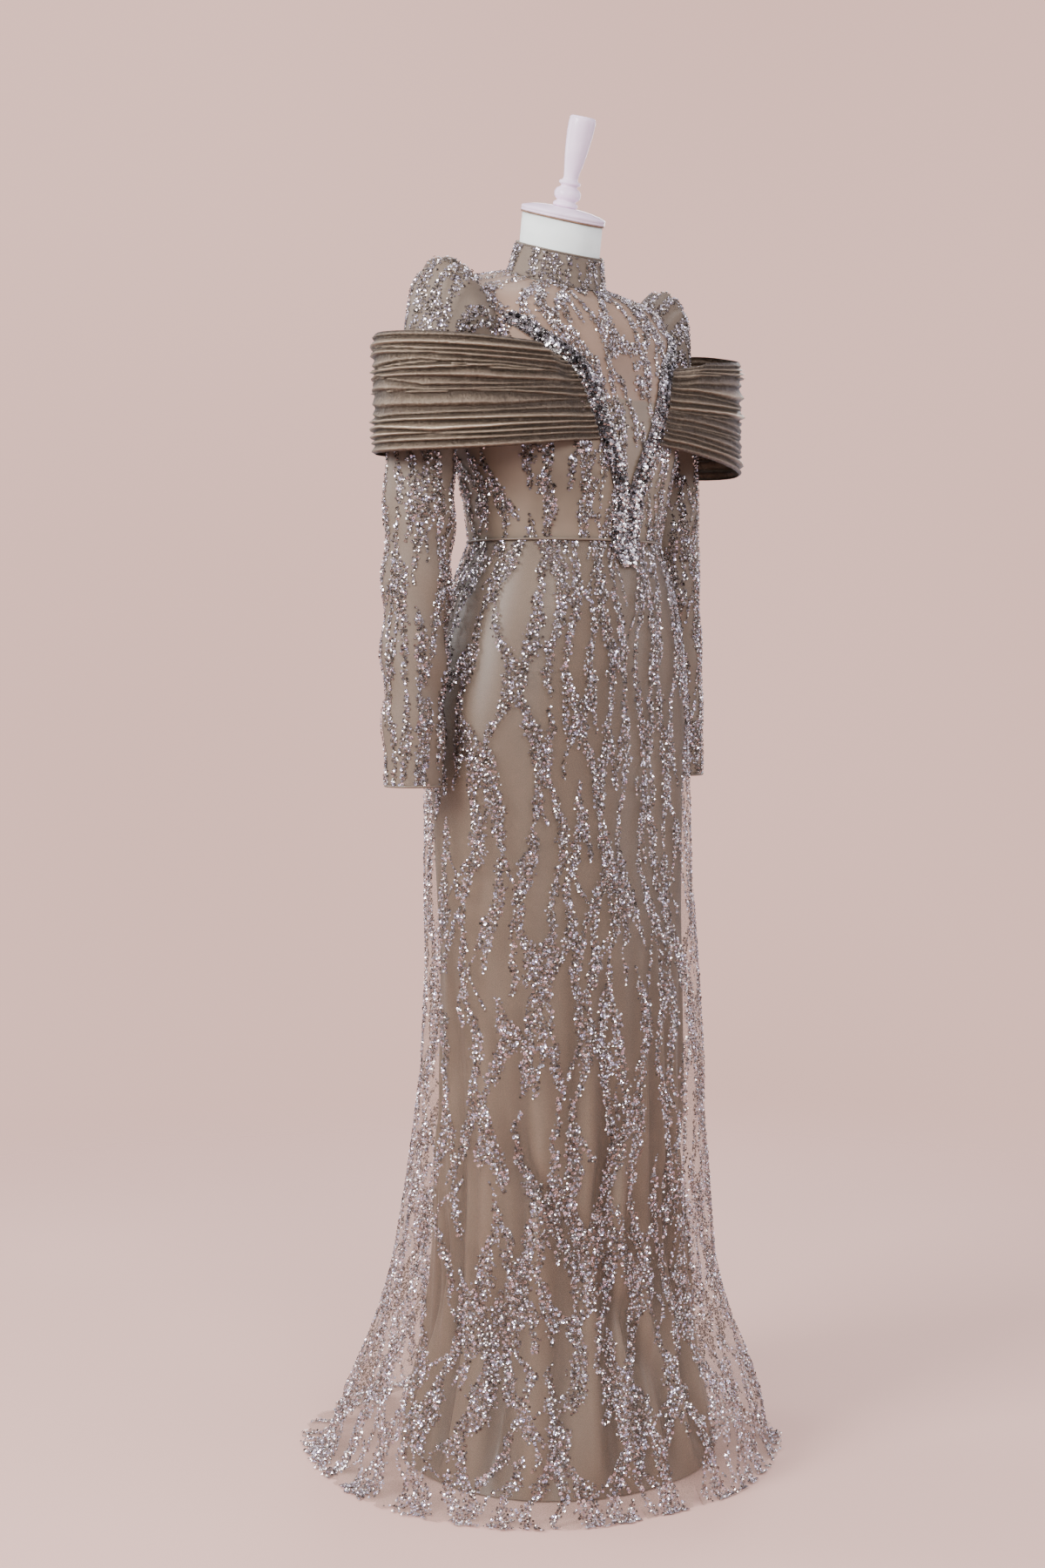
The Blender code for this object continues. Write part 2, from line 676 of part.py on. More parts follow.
def band_grid(top, distance):
    """Points of a pleated band on the left, its pleats standing in and out, moved out by a distance."""
    grid = []
    for step in range(2 * PLEATS + 1):
        pleat = PLEAT_DEPTH if step % 2 else -PLEAT_DEPTH
        row = []
        for turn in spread_evenly(0.0, 1.0, BAND_SEGMENTS):
            def face(at_turn, at_share):
                return band_surface(min(max(at_turn, 0.0), 1.0), at_share, top)

            row.append(moved_out(face, turn, step / (2 * PLEATS), pleat + distance))
        grid.append(row)
    return grid


def make_bands():
    """Two pleated bands, each from the trim round the upper arm to the centre back."""
    for side, wearer_side in ((1, "left"), (-1, "right")):
        outer = band_grid(f"top_{wearer_side}", 0.5 * BAND_WALL)
        inner = band_grid(f"top_{wearer_side}", -0.5 * BAND_WALL)
        outer_side = [[mirrored(point, side) for point in row] for row in outer]
        inner_side = [[mirrored(point, side) for point in row] for row in inner]
        add_wall(f"shoulder_band_{wearer_side}", outer_side, inner_side, PLEATED)


# ---- Dress form and stand ------------------------------------------------------------------------
def form_angles(height):
    """Angles all round a section from the right side, spaced as the bodice's columns are."""
    side = angle_where(front_surface, height, 1, ARMHOLE_DEPTH, 0.0, math.pi)
    front = spread_evenly(-side, side, FRONT_COLUMNS)
    back = spread_evenly(side, FULL_TURN - side, 2 * BACK_COLUMNS)
    return front + back[1:-1]


def form_ring(height):
    """A section of the form, inside the cloth by the ease at its height."""
    ease = straight_value(FORM_EASES, height)
    angles = form_angles(height)
    ring = [moved_out(front_surface, angle, height, -ease) for angle in angles]
    if height < WAIST:
        for point in ring:
            point.z = height
    return ring


def add_stack(name, rings, finish):
    """A closed solid through rings of equal size, with flat ends."""
    sides = len(rings[0])
    points = [point for ring in rings for point in ring]
    faces = [tuple(range(sides)), tuple(range(len(points) - sides, len(points)))]
    for level in range(len(rings) - 1):
        for side in range(sides):
            following = (side + 1) % sides
            faces.append((
                level * sides + side,
                level * sides + following,
                (level + 1) * sides + following,
                (level + 1) * sides + side,
            ))
    return add_mesh(name, points, faces, finish)


def make_form():
    """The torso that carries the gown, from below the hips up, with its leaning neck."""
    rows = bodice_rows()
    rings = [form_ring(height) for height in (*FORM_HIP_ROWS, *rows)]
    rings += [neck_ring(radius, rise, form_angles(rows[-1])) for radius, rise in NECK_FLARE]
    add_stack("form_torso", rings, JERSEY)


def make_stand():
    """The wooden cap and finial on the neck, and the pole and round base under the torso."""
    cap = (
        (0.0, 0.0),
        (CAP_RADIUS - 0.001, 0.0),
        (CAP_RADIUS, 0.001),
        (CAP_RADIUS, CAP_THICKNESS - 0.0015),
        (CAP_RADIUS - 0.002, CAP_THICKNESS),
        (0.7 * CAP_RADIUS, CAP_THICKNESS + 0.65 * CAP_DOME),
        (0.35 * CAP_RADIUS, CAP_THICKNESS + CAP_DOME),
        (0.0, CAP_THICKNESS + CAP_DOME),
    )
    cap_axis = Matrix.Rotation(NECK_TILT, 3, "X") @ Vector((0.0, 0.0, 1.0))
    cap_foot = up_the_neck(NECK_LENGTH) + cap_axis * SEAM
    add_turned("neck_cap", cap, PAINTED_WOOD, cap_foot, NECK_TILT)
    finial_foot = cap_foot + cap_axis * (CAP_THICKNESS + CAP_DOME + SEAM)
    add_turned("finial", FINIAL_PROFILE, PAINTED_WOOD, finial_foot, NECK_TILT)
    pole = (
        (0.0, BASE_THICKNESS + SEAM),
        (POLE_RADIUS, BASE_THICKNESS + SEAM),
        (POLE_RADIUS, FORM_BOTTOM - SEAM),
        (0.0, FORM_BOTTOM - SEAM),
    )
    add_turned("stand_pole", pole, POLE_STEEL, AXIS)
    base = (
        (0.0, 0.0),
        (BASE_RADIUS, 0.0),
        (BASE_RADIUS, BASE_THICKNESS - 0.003),
        (BASE_RADIUS - 0.003, BASE_THICKNESS),
        (0.0, BASE_THICKNESS),
    )
    add_turned("stand_base", base, PAINTED_WOOD, AXIS)


def main():
    """Clears the scene and builds the gown and its form."""
    for old in list(bpy.data.objects):
        bpy.data.objects.remove(old, do_unlink=True)
    bpy.context.scene.collection.children.link(gown)
    make_bodice()
    make_sleeves()
    make_skirts()
    make_trim()
    make_waist_piping()
    make_collar()
    make_bands()
    make_form()
    make_stand()


main()
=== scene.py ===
"""Looks of the evening gown on its dress form: sheer beaded tulle over satin, pleated lame, jewels.

Every cloth panel is a dense grid of points on the form of its solid, with its folds. Only the bands
stand off theirs, at the front. The grid becomes the panel's shell, and sequins and beads are set on
it where the branching strips of the embroidery run.
"""

import math

import bpy
import numpy as np
from mathutils import Matrix, Vector


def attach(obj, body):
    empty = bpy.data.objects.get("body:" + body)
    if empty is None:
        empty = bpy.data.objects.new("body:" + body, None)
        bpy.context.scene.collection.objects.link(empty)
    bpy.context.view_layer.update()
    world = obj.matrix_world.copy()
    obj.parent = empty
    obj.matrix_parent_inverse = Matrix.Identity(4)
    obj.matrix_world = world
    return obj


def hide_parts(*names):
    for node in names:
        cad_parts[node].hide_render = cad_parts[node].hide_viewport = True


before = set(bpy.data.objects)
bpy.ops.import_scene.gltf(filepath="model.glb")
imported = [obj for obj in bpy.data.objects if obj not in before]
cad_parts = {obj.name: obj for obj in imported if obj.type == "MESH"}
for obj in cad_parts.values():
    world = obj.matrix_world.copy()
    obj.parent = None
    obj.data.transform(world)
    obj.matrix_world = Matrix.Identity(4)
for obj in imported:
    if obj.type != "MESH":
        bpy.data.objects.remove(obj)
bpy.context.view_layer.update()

# ---- Sizes, in metres: those of the solids, unless a comment says otherwise ----------------------
TURN = 2.0 * math.pi
AXIS = np.array((0.006, -0.048, 0.0))
WAIST = 1.113
WALL = 0.0012

# height, middle, tilt, half width, front, back, roundness
BODY = np.array((
    (WAIST, 0.000, 0.0, 0.126, 0.1005, 0.0980, 2.1),
    (1.155, 0.000, 0.0, 0.133, 0.1060, 0.0980, 2.2),
    (1.200, 0.000, 0.0, 0.143, 0.1100, 0.1000, 2.3),
    (1.245, 0.000, 0.0, 0.152, 0.1125, 0.1030, 2.3),
    (1.297, 0.000, 0.0, 0.157, 0.1100, 0.1050, 2.3),
    (1.342, 0.004, 4.0, 0.159, 0.1020, 0.1010, 2.3),
    (1.380, 0.010, 9.0, 0.158, 0.0930, 0.0910, 2.3),
    (1.412, 0.014, 14.0, 0.148, 0.0780, 0.0750, 2.2),
    (1.422, 0.014, 16.0, 0.108, 0.0690, 0.0660, 2.1),
    (1.430, 0.014, 17.0, 0.0605, 0.0605, 0.0605, 2.0),
))
ARMHOLE_HEIGHT = 1.3545
ARMHOLE_HALF_HEIGHT = 0.0575
ARMHOLE_DEPTH = 0.012
ARMHOLE_HALF_DEPTH = 0.050

# outer x and z, inner x and z, middle, half depth
SLEEVE = np.array((
    (0.168, 1.428, 0.1630, 1.2950, 0.014, 0.0520),
    (0.184, 1.436, 0.1660, 1.2900, 0.016, 0.0530),
    (0.199, 1.427, 0.1680, 1.2820, 0.018, 0.0510),
    (0.209, 1.405, 0.1695, 1.2700, 0.019, 0.0475),
    (0.217, 1.370, 0.1705, 1.2560, 0.020, 0.0440),
    (0.229, 1.325, 0.1715, 1.2360, 0.0215, 0.0420),
    (0.242, 1.265, 0.1720, 1.2080, 0.024, 0.0410),
    (0.250, 1.180, 0.1725, 1.1650, 0.026, 0.0405),
    (0.253, 1.080, 0.1755, 1.0760, 0.026, 0.0395),
    (0.257, 0.970, 0.1840, 0.9700, 0.024, 0.0370),
    (0.2585, 0.829, 0.1925, 0.8290, 0.0205, 0.0330),
))
CUFF_BINDING_RADIUS = 0.0016

# height, aside, half width, front, back, fold
SKIRT = np.array((
    (WAIST, 0.0000, 0.126, 0.1005, 0.0980, 0.0000),
    (1.0550, 0.0000, 0.148, 0.1120, 0.1180, 0.0000),
    (0.9950, 0.0000, 0.166, 0.1140, 0.1300, 0.0000),
    (0.9300, 0.0000, 0.179, 0.1130, 0.1390, 0.0000),
    (0.8600, 0.0000, 0.183, 0.1130, 0.1420, 0.0000),
    (0.7400, 0.0000, 0.182, 0.1200, 0.1450, 0.0000),
    (0.6200, 0.0000, 0.180, 0.1380, 0.1480, 0.0000),
    (0.5000, 0.0000, 0.181, 0.1500, 0.1590, 0.0015),
    (0.4000, 0.0000, 0.185, 0.1520, 0.1770, 0.0035),
    (0.3100, 0.0000, 0.193, 0.1520, 0.1950, 0.0055),
    (0.2300, -0.0010, 0.201, 0.1580, 0.2110, 0.0070),
    (0.1650, -0.0020, 0.213, 0.1820, 0.2330, 0.0085),
    (0.1050, -0.0035, 0.232, 0.2170, 0.2580, 0.0095),
    (0.0600, -0.0045, 0.247, 0.2320, 0.2800, 0.0095),
    (0.0200, -0.0055, 0.258, 0.2390, 0.2970, 0.0080),
    (0.0018, -0.0060, 0.270, 0.2450, 0.3120, 0.0060),
    (WALL, -0.0060, 0.292, 0.2520, 0.3500, 0.0040),
))
LINING = np.array((
    (WAIST, 0.0, 0.1238, 0.0983, 0.0958, 0.0),
    (1.0550, 0.0, 0.144, 0.1075, 0.1135, 0.0),
    (0.9950, 0.0, 0.161, 0.1090, 0.1250, 0.0),
    (0.9000, 0.0, 0.176, 0.1080, 0.1350, 0.0),
    (0.7800, 0.0, 0.171, 0.1110, 0.1370, 0.0),
    (0.6200, 0.0, 0.158, 0.1240, 0.1380, 0.0),
    (0.4600, 0.0, 0.151, 0.1300, 0.1440, 0.0),
    (0.3000, 0.0, 0.152, 0.1340, 0.1520, 0.0),
    (0.1500, 0.0, 0.160, 0.1440, 0.1680, 0.0),
    (0.0500, 0.0, 0.178, 0.1640, 0.1900, 0.0),
    (0.0020, 0.0, 0.192, 0.1750, 0.2050, 0.0),
))
SKIRT_ROUNDNESS = 2.1

# height, x, half width of the jewelled trim on the wearer's left
TRIM = np.array((
    (1.082, 0.0048, 0.0040),
    (1.096, 0.0085, 0.0078),
    (WAIST, 0.0104, 0.0098),
    (1.165, 0.0120, 0.0100),
    (1.200, 0.0225, 0.0100),
    (1.232, 0.0390, 0.0100),
    (1.272, 0.0550, 0.0100),
    (1.297, 0.0640, 0.0100),
    (1.322, 0.0780, 0.0100),
    (1.340, 0.0960, 0.0095),
    (1.360, 0.1180, 0.0090),
    (1.378, 0.1370, 0.0080),
))
TRIM_LIFT = 0.0012
TRIM_SPREAD = 1.18  # the visible trim's width, in widths of its solid

# turn, bottom, top on the right, top on the left
BANDS = np.array((
    (0.00, 1.228, 1.333, 1.331),
    (0.25, 1.209, 1.338, 1.350),
    (0.50, 1.206, 1.342, 1.366),
    (0.75, 1.211, 1.342, 1.358),
    (1.00, 1.225, 1.335, 1.335),
))
BAND_HALF_WIDTH = 0.286
BAND_FRONT = 0.137
BAND_BACK = 0.122
BAND_SEWN_SHARE = 0.24  # of the way round, drawn onto the back. The solids have 0.28
BAND_TRIM_SHARE = 0.05  # of the way round, drawn onto the bodice at the trim, shorter than the solids'
BAND_LIFT = 0.0046
BAND_GAP = 0.0028
BAND_PLEATS = 18
BAND_PLEAT_DEPTH = 0.0070
BAND_EASE = 0.14  # share by which the band's front is drawn in at the trim, in the visible cloth only

NECK_FOOT = np.array((0.0, 0.014, 1.430))
NECK_LEAN = math.radians(8.0)
NECK_TILT = math.radians(17.0)
NECK_RADIUS = 0.0493
NECK_LENGTH = 0.075
COLLAR_HEIGHT = 0.0350
COLLAR_FOOT_RADIUS = 0.0605
COLLAR_TOP_RADIUS = 0.0535

# ---- The camera and the embroidery ---------------------------------------------------------------
CAMERA_DISTANCE = 2.85
CAMERA_HEIGHT = 0.96
CAMERA_AZIMUTH = math.radians(-45.0)
CAMERA_PITCH = math.radians(-2.77)
CAMERA_PAN = math.radians(1.02)
CAMERA_LENS = 53.8

SEQUIN_RADIUS = 0.0021
SEQUIN_PITCH = 0.0036
RING_SIDES = 5
RING_SHARE = 0.50  # the other places in a strip take a seed bead
SEQUIN_LIFT = 0.0012


# ---- Tables and grids ----------------------------------------------------------------------------
def smooth_columns(keys, table, wanted):
    """Every column of a table at each wanted key, on smooth curves through its rows."""
    index = np.clip(np.searchsorted(keys, wanted, side="right") - 1, 0, len(keys) - 2)
    before = np.maximum(index - 1, 0)
    after = np.minimum(index + 2, len(keys) - 1)
    span = (keys[index + 1] - keys[index])[:, None]
    share = (np.asarray(wanted)[:, None] - keys[index][:, None]) / span
    start = table[index]
    end = table[index + 1]
    leaving = (end - table[before]) / (keys[index + 1] - keys[before])[:, None] * span
    arriving = (table[after] - start) / (keys[after] - keys[index])[:, None] * span
    rise = end - start
    bend = (1.0 - share) * (leaving - rise) - share * (arriving - rise)
    return start + rise * share + share * (1.0 - share) * bend


def runs_of(table, first_size):
    """How far along the cloth each row of a section table lies, from its first row."""
    sizes = table[:, first_size:first_size + 3].mean(axis=1)
    steps = np.hypot(np.diff(table[:, 0]), np.diff(sizes))
    return np.concatenate(([0.0], np.cumsum(steps)))


def oval(angle, half_width, front, back, roundness):
    """Offsets across and along of an oval's edge. An angle of 0 is the front, a quarter turn the left."""
    depth = np.where(np.cos(angle) > 0.0, front, back)
    across = np.abs(np.sin(angle) / half_width) ** roundness
    along = np.abs(np.cos(angle) / depth) ** roundness
    radius = (across + along) ** (-1.0 / roundness)
    return radius * np.sin(angle), -radius * np.cos(angle)


def body_points(angle, row):
    """Points of the bodice's outer face, for section rows that go with the angles."""
    height, middle, tilt, half_width, front, back, roundness = np.moveaxis(row, -1, 0)
    across, along = oval(angle, half_width, front, back, roundness)
    tilt = np.radians(tilt)
    places = (across, middle + along * np.cos(tilt), height + along * np.sin(tilt))
    return AXIS + np.stack(places, axis=-1)


def fold_wave(angle):
    """The skirt's soft folds round its hem, from -1 to 1."""
    return 0.55 * np.sin(7.0 * angle + 0.6) + 0.30 * np.sin(4.0 * angle + 2.1) + 0.15 * np.sin(angle)


def skirt_points(angle, row):
    """Points of a skirt's outer face."""
    height, aside, half_width, front, back, fold = np.moveaxis(row, -1, 0)
    across, along = oval(angle, half_width, front, back, SKIRT_ROUNDNESS)
    spread = 1.0 + fold * fold_wave(angle) / half_width
    return AXIS + np.stack((aside + across * spread, along * spread, height + 0.0 * angle), axis=-1)


def body_rows(heights):
    """Section rows of the bodice at some heights."""
    return smooth_columns(BODY[:, 0], BODY, np.asarray(heights, dtype=float))


def angle_at(row, axis, wanted, low=0.0, high=math.pi):
    """The angle between two others where a section reaches a wanted x or y from the form's axis."""
    low = np.full(len(row), low)
    high = np.full(len(row), high)
    for _ in range(36):
        middle = 0.5 * (low + high)
        less = (body_points(middle, row) - AXIS)[:, axis] < wanted
        low = np.where(less, middle, low)
        high = np.where(less, high, middle)
    return low


def grid_normals(points):
    """Unit normals of a grid of points, pointing away from the form's axis or the arm's."""
    down = np.gradient(points, axis=0)
    along = np.gradient(points, axis=1)
    normals = np.cross(down, along)
    normals /= np.maximum(np.linalg.norm(normals, axis=-1, keepdims=True), 1e-12)
    return normals


class Panel:
    """A grid of points on a piece of cloth, with outward normals, angles and distances down it."""

    def __init__(self, points, angles, runs, outward=1.0):
        self.points = points
        self.normals = grid_normals(points) * outward
        self.angles = angles
        self.runs = runs

    def sample(self, grid, rows, columns):
        """A grid's values at fractional rows and columns."""
        row = np.clip(rows.astype(int), 0, grid.shape[0] - 2)
        column = np.clip(columns.astype(int), 0, grid.shape[1] - 2)
        down = rows - row
        across = columns - column
        if grid.ndim == 3:
            down = down[:, None]
            across = across[:, None]
        upper = grid[row, column] * (1 - across) + grid[row, column + 1] * across
        lower = grid[row + 1, column] * (1 - across) + grid[row + 1, column + 1] * across
        return upper * (1 - down) + lower * down

    def lifted(self, distance):
        """The grid's points moved out along their normals."""
        return self.points + self.normals * distance


# ---- Meshes --------------------------------------------------------------------------------------
def mesh_object(name, points, faces, smooth=True):
    """An object from arrays of points and of faces with equal corners."""
    mesh = bpy.data.meshes.new(name)
    count, corners = faces.shape
    mesh.vertices.add(len(points))
    mesh.vertices.foreach_set("co", points.astype(np.float32).ravel())
    mesh.loops.add(count * corners)
    mesh.loops.foreach_set("vertex_index", faces.astype(np.int32).ravel())
    mesh.polygons.add(count)
    mesh.polygons.foreach_set("loop_start", np.arange(0, count * corners, corners, dtype=np.int32))
    mesh.polygons.foreach_set("use_smooth", np.full(count, smooth))
    mesh.update(calc_edges=True)
    mesh.validate()
    made = bpy.data.objects.new(name, mesh)
    bpy.context.scene.collection.objects.link(made)
    return made


def grid_faces(rows, columns, closed=False):
    """Quads of a grid. A closed one joins its last column to its first."""
    steps = columns if closed else columns - 1
    row, column = np.meshgrid(np.arange(rows - 1), np.arange(steps), indexing="ij")
    following = (column + 1) % columns
    corners = (
        row * columns + column,
        (row + 1) * columns + column,
        (row + 1) * columns + following,
        row * columns + following,
    )
    return np.stack(corners, axis=-1).reshape(-1, 4)


def dress(piece, material, replaced=()):
    """Gives a piece its material and the body it rides on, and hides what it replaces."""
    piece.data.materials.append(material)
    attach(piece, "root")
    if replaced:
        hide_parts(*replaced)
    return piece


def shell(name, panel, material, replaced=(), lift=0.0):
    """A panel's cloth."""
    points = panel.lifted(lift)
    rows, columns = points.shape[:2]
    faces = grid_faces(rows, columns)
    made = mesh_object(name, points.reshape(-1, 3), faces)
    return dress(made, material, replaced)


def tube(name, path, radius, material, replaced, closed):
    """A bound edge or piping: a round cord along a path."""
    curve = bpy.data.curves.new(name, "CURVE")
    curve.dimensions = "3D"
    curve.bevel_depth = radius
    curve.bevel_resolution = 2
    curve.use_fill_caps = not closed
    spline = curve.splines.new("POLY")
    spline.points.add(len(path) - 1)
    spline.points.foreach_set("co", np.column_stack((path, np.ones(len(path)))).ravel())
    spline.use_cyclic_u = closed
    spline.use_smooth = True
    made = bpy.data.objects.new(name, curve)
    bpy.context.scene.collection.objects.link(made)
    return dress(made, material, replaced)


def lathe(name, profile, foot, tilt, material, replaced=(), sides=64):
    """A turned piece, from radii and heights from its foot up."""
    profile = np.array(profile)
    angles = np.linspace(0.0, TURN, sides, endpoint=False)
    radius = profile[:, 0][:, None]
    rise = profile[:, 1][:, None] + 0.0 * angles
    points = np.stack((radius * np.cos(angles), radius * np.sin(angles), rise), axis=-1)
    turned = points @ np.array(Matrix.Rotation(-tilt, 3, "X"))
    faces = grid_faces(len(profile), sides, closed=True)[:, ::-1]
    made = mesh_object(name, (turned + foot).reshape(-1, 3), faces)
    return dress(made, material, replaced)


def smooth_profile(rows, steps):
    """A turned profile with more rows, on a smooth curve through the given ones."""
    rows = np.array(rows)
    keys = np.concatenate(([0.0], np.cumsum(np.hypot(*np.diff(rows, axis=0).T))))
    fine = smooth_columns(keys, rows, np.linspace(0.0, keys[-1], steps))
    fine[:, 0] = np.maximum(fine[:, 0], 0.0)
    return fine


# ---- Materials -----------------------------------------------------------------------------------
NET_SCALE = 620.0  # holes of the tulle in a metre
NUDE_EDGE = (1.276, 1.279)  # heights between which the bodice turns from satin to nude net


def new_material(name):
    """A material with its nodes, its links and its Principled shader."""
    made = bpy.data.materials.new(name)
    made.use_nodes = True
    nodes = made.node_tree.nodes
    return made, nodes, made.node_tree.links, nodes["Principled BSDF"]


def add_node(nodes, kind, **settings):
    """A node with its inputs set by name, and its own properties by their lower-case names."""
    made = nodes.new(kind)
    for name, value in settings.items():
        if hasattr(made, name):
            setattr(made, name, value)
        else:
            made.inputs[name.replace("_", " ").title()].default_value = value
    return made


def ramp(nodes, stops):
    """A colour ramp with stops of position and colour."""
    made = nodes.new("ShaderNodeValToRGB")
    elements = made.color_ramp.elements
    while len(elements) < len(stops):
        elements.new(0.5)
    for element, (position, colour) in zip(elements, stops):
        element.position = position
        element.color = (*colour, 1.0)
    return made


def placed_node(nodes, links, kind, **settings):
    """A node that reads the piece's own coordinates."""
    made = add_node(nodes, kind, **settings)
    coordinates = nodes.new("ShaderNodeTexCoord")
    links.new(coordinates.outputs["Object"], made.inputs["Vector"])
    return made


def map_range(nodes, start, end, low=0.0, high=1.0):
    """A node that carries start to end over into low to high."""
    made = nodes.new("ShaderNodeMapRange")
    for name, value in (("From Min", start), ("From Max", end), ("To Min", low), ("To Max", high)):
        made.inputs[name].default_value = value
    return made


def noise_colour(nodes, links, shader, low, high, scale, detail=4.0):
    """Base colour that drifts between two tones."""
    noise = placed_node(nodes, links, "ShaderNodeTexNoise", scale=scale, detail=detail)
    tones = ramp(nodes, ((0.35, low), (0.65, high)))
    links.new(noise.outputs["Fac"], tones.inputs["Fac"])
    links.new(tones.outputs["Color"], shader.inputs["Base Color"])


def add_bump(nodes, links, shader, height, strength, distance):
    """Bump from a height output."""
    bump = add_node(nodes, "ShaderNodeBump", strength=strength, distance=distance)
    links.new(height, bump.inputs["Height"])
    links.new(bump.outputs["Normal"], shader.inputs["Normal"])


def satin_material(name, low, high, roughness):
    """Satin with a fine weave: two close tones at random, with painted shade down in the folds and a
    painted highlight on their crests, for a piece that has them.
    """
    made, nodes, links, shader = new_material(name)
    noise = placed_node(nodes, links, "ShaderNodeTexNoise", scale=9.0, detail=4.0)
    # rise: how far the cloth stands out; low values paint shade into the troughs, high values paint a
    # highlight on the crests
    rise = nodes.new("ShaderNodeAttribute")
    rise.attribute_name = "rise"
    tone_and_painted_light = nodes.new("ShaderNodeMath")
    tone_and_painted_light.operation = "MULTIPLY_ADD"
    tone_and_painted_light.inputs[1].default_value = 0.85
    # Ramp: painted shade at its dark end, two close cloth tones in the middle, painted highlight at its
    # bright end
    tones = ramp(nodes, (
        (0.0, tuple(0.45 * part for part in low)), (0.38, low), (0.62, high),
        (1.0, tuple(1.25 * part for part in high)),
    ))
    links.new(rise.outputs["Fac"], tone_and_painted_light.inputs[0])
    links.new(noise.outputs["Fac"], tone_and_painted_light.inputs[2])
    links.new(tone_and_painted_light.outputs["Value"], tones.inputs["Fac"])
    links.new(tones.outputs["Color"], shader.inputs["Base Color"])
    weave = placed_node(nodes, links, "ShaderNodeTexWave", scale=380.0, distortion=1.5)
    weave.bands_direction = "Z"
    add_bump(nodes, links, shader, weave.outputs["Fac"], 0.10, 0.0003)
    shader.inputs["Roughness"].default_value = roughness
    shader.inputs["Specular IOR Level"].default_value = 0.45
    shader.inputs["Sheen Weight"].default_value = 0.05
    return made


def tulle_material(name, colour, least, most):
    """Net that shows what is behind it, with more or less thread from hole to hole."""
    made, nodes, links, shader = new_material(name)
    holes = placed_node(nodes, links, "ShaderNodeTexVoronoi", scale=NET_SCALE)
    holes.feature = "DISTANCE_TO_EDGE"
    share = map_range(nodes, 0.04, 0.22, most, least)
    links.new(holes.outputs["Distance"], share.inputs["Value"])
    clear = nodes.new("ShaderNodeBsdfTransparent")
    mix = nodes.new("ShaderNodeMixShader")
    links.new(share.outputs["Result"], mix.inputs["Fac"])
    links.new(clear.outputs["BSDF"], mix.inputs[1])
    links.new(shader.outputs["BSDF"], mix.inputs[2])
    links.new(mix.outputs["Shader"], nodes["Material Output"].inputs["Surface"])
    shader.inputs["Base Color"].default_value = (*colour, 1.0)
    shader.inputs["Roughness"].default_value = 0.6
    shader.inputs["Sheen Weight"].default_value = 0.05
    return made


def bodice_material():
    """The bodice's cloth: nude net over the chest, and satin-backed tulle below a level edge."""
    made, nodes, links, shader = new_material("bodice_cloth")
    split = placed_node(nodes, links, "ShaderNodeSeparateXYZ")
    edge = map_range(nodes, *NUDE_EDGE)
    links.new(split.outputs["Z"], edge.inputs["Value"])
    noise = placed_node(nodes, links, "ShaderNodeTexNoise", scale=14.0, detail=3.0)
    satin = ramp(nodes, ((0.35, (0.155, 0.112, 0.076)), (0.65, (0.215, 0.156, 0.108))))
    nude = ramp(nodes, ((0.35, (0.22, 0.136, 0.091)), (0.65, (0.285, 0.178, 0.121))))
    links.new(noise.outputs["Fac"], satin.inputs["Fac"])
    links.new(noise.outputs["Fac"], nude.inputs["Fac"])
    mix = nodes.new("ShaderNodeMix")
    mix.data_type = "RGBA"
    links.new(edge.outputs["Result"], mix.inputs["Factor"])
    links.new(satin.outputs["Color"], mix.inputs["A"])
    links.new(nude.outputs["Color"], mix.inputs["B"])
    links.new(mix.outputs["Result"], shader.inputs["Base Color"])
    net = placed_node(nodes, links, "ShaderNodeTexVoronoi", scale=NET_SCALE)
    add_bump(nodes, links, shader, net.outputs["Distance"], 0.15, 0.0004)
    shader.inputs["Roughness"].default_value = 0.5
    shader.inputs["Sheen Weight"].default_value = 0.05
    return made


def sequin_material(name, stops, roughness, metallic):
    """Metal-coated discs, each with a tone of its own."""
    made, nodes, links, shader = new_material(name)
    geometry = nodes.new("ShaderNodeNewGeometry")
    tones = ramp(nodes, stops)
    links.new(geometry.outputs["Random Per Island"], tones.inputs["Fac"])
    links.new(tones.outputs["Color"], shader.inputs["Base Color"])
    shader.inputs["Metallic"].default_value = metallic
    shader.inputs["Roughness"].default_value = roughness
    return made


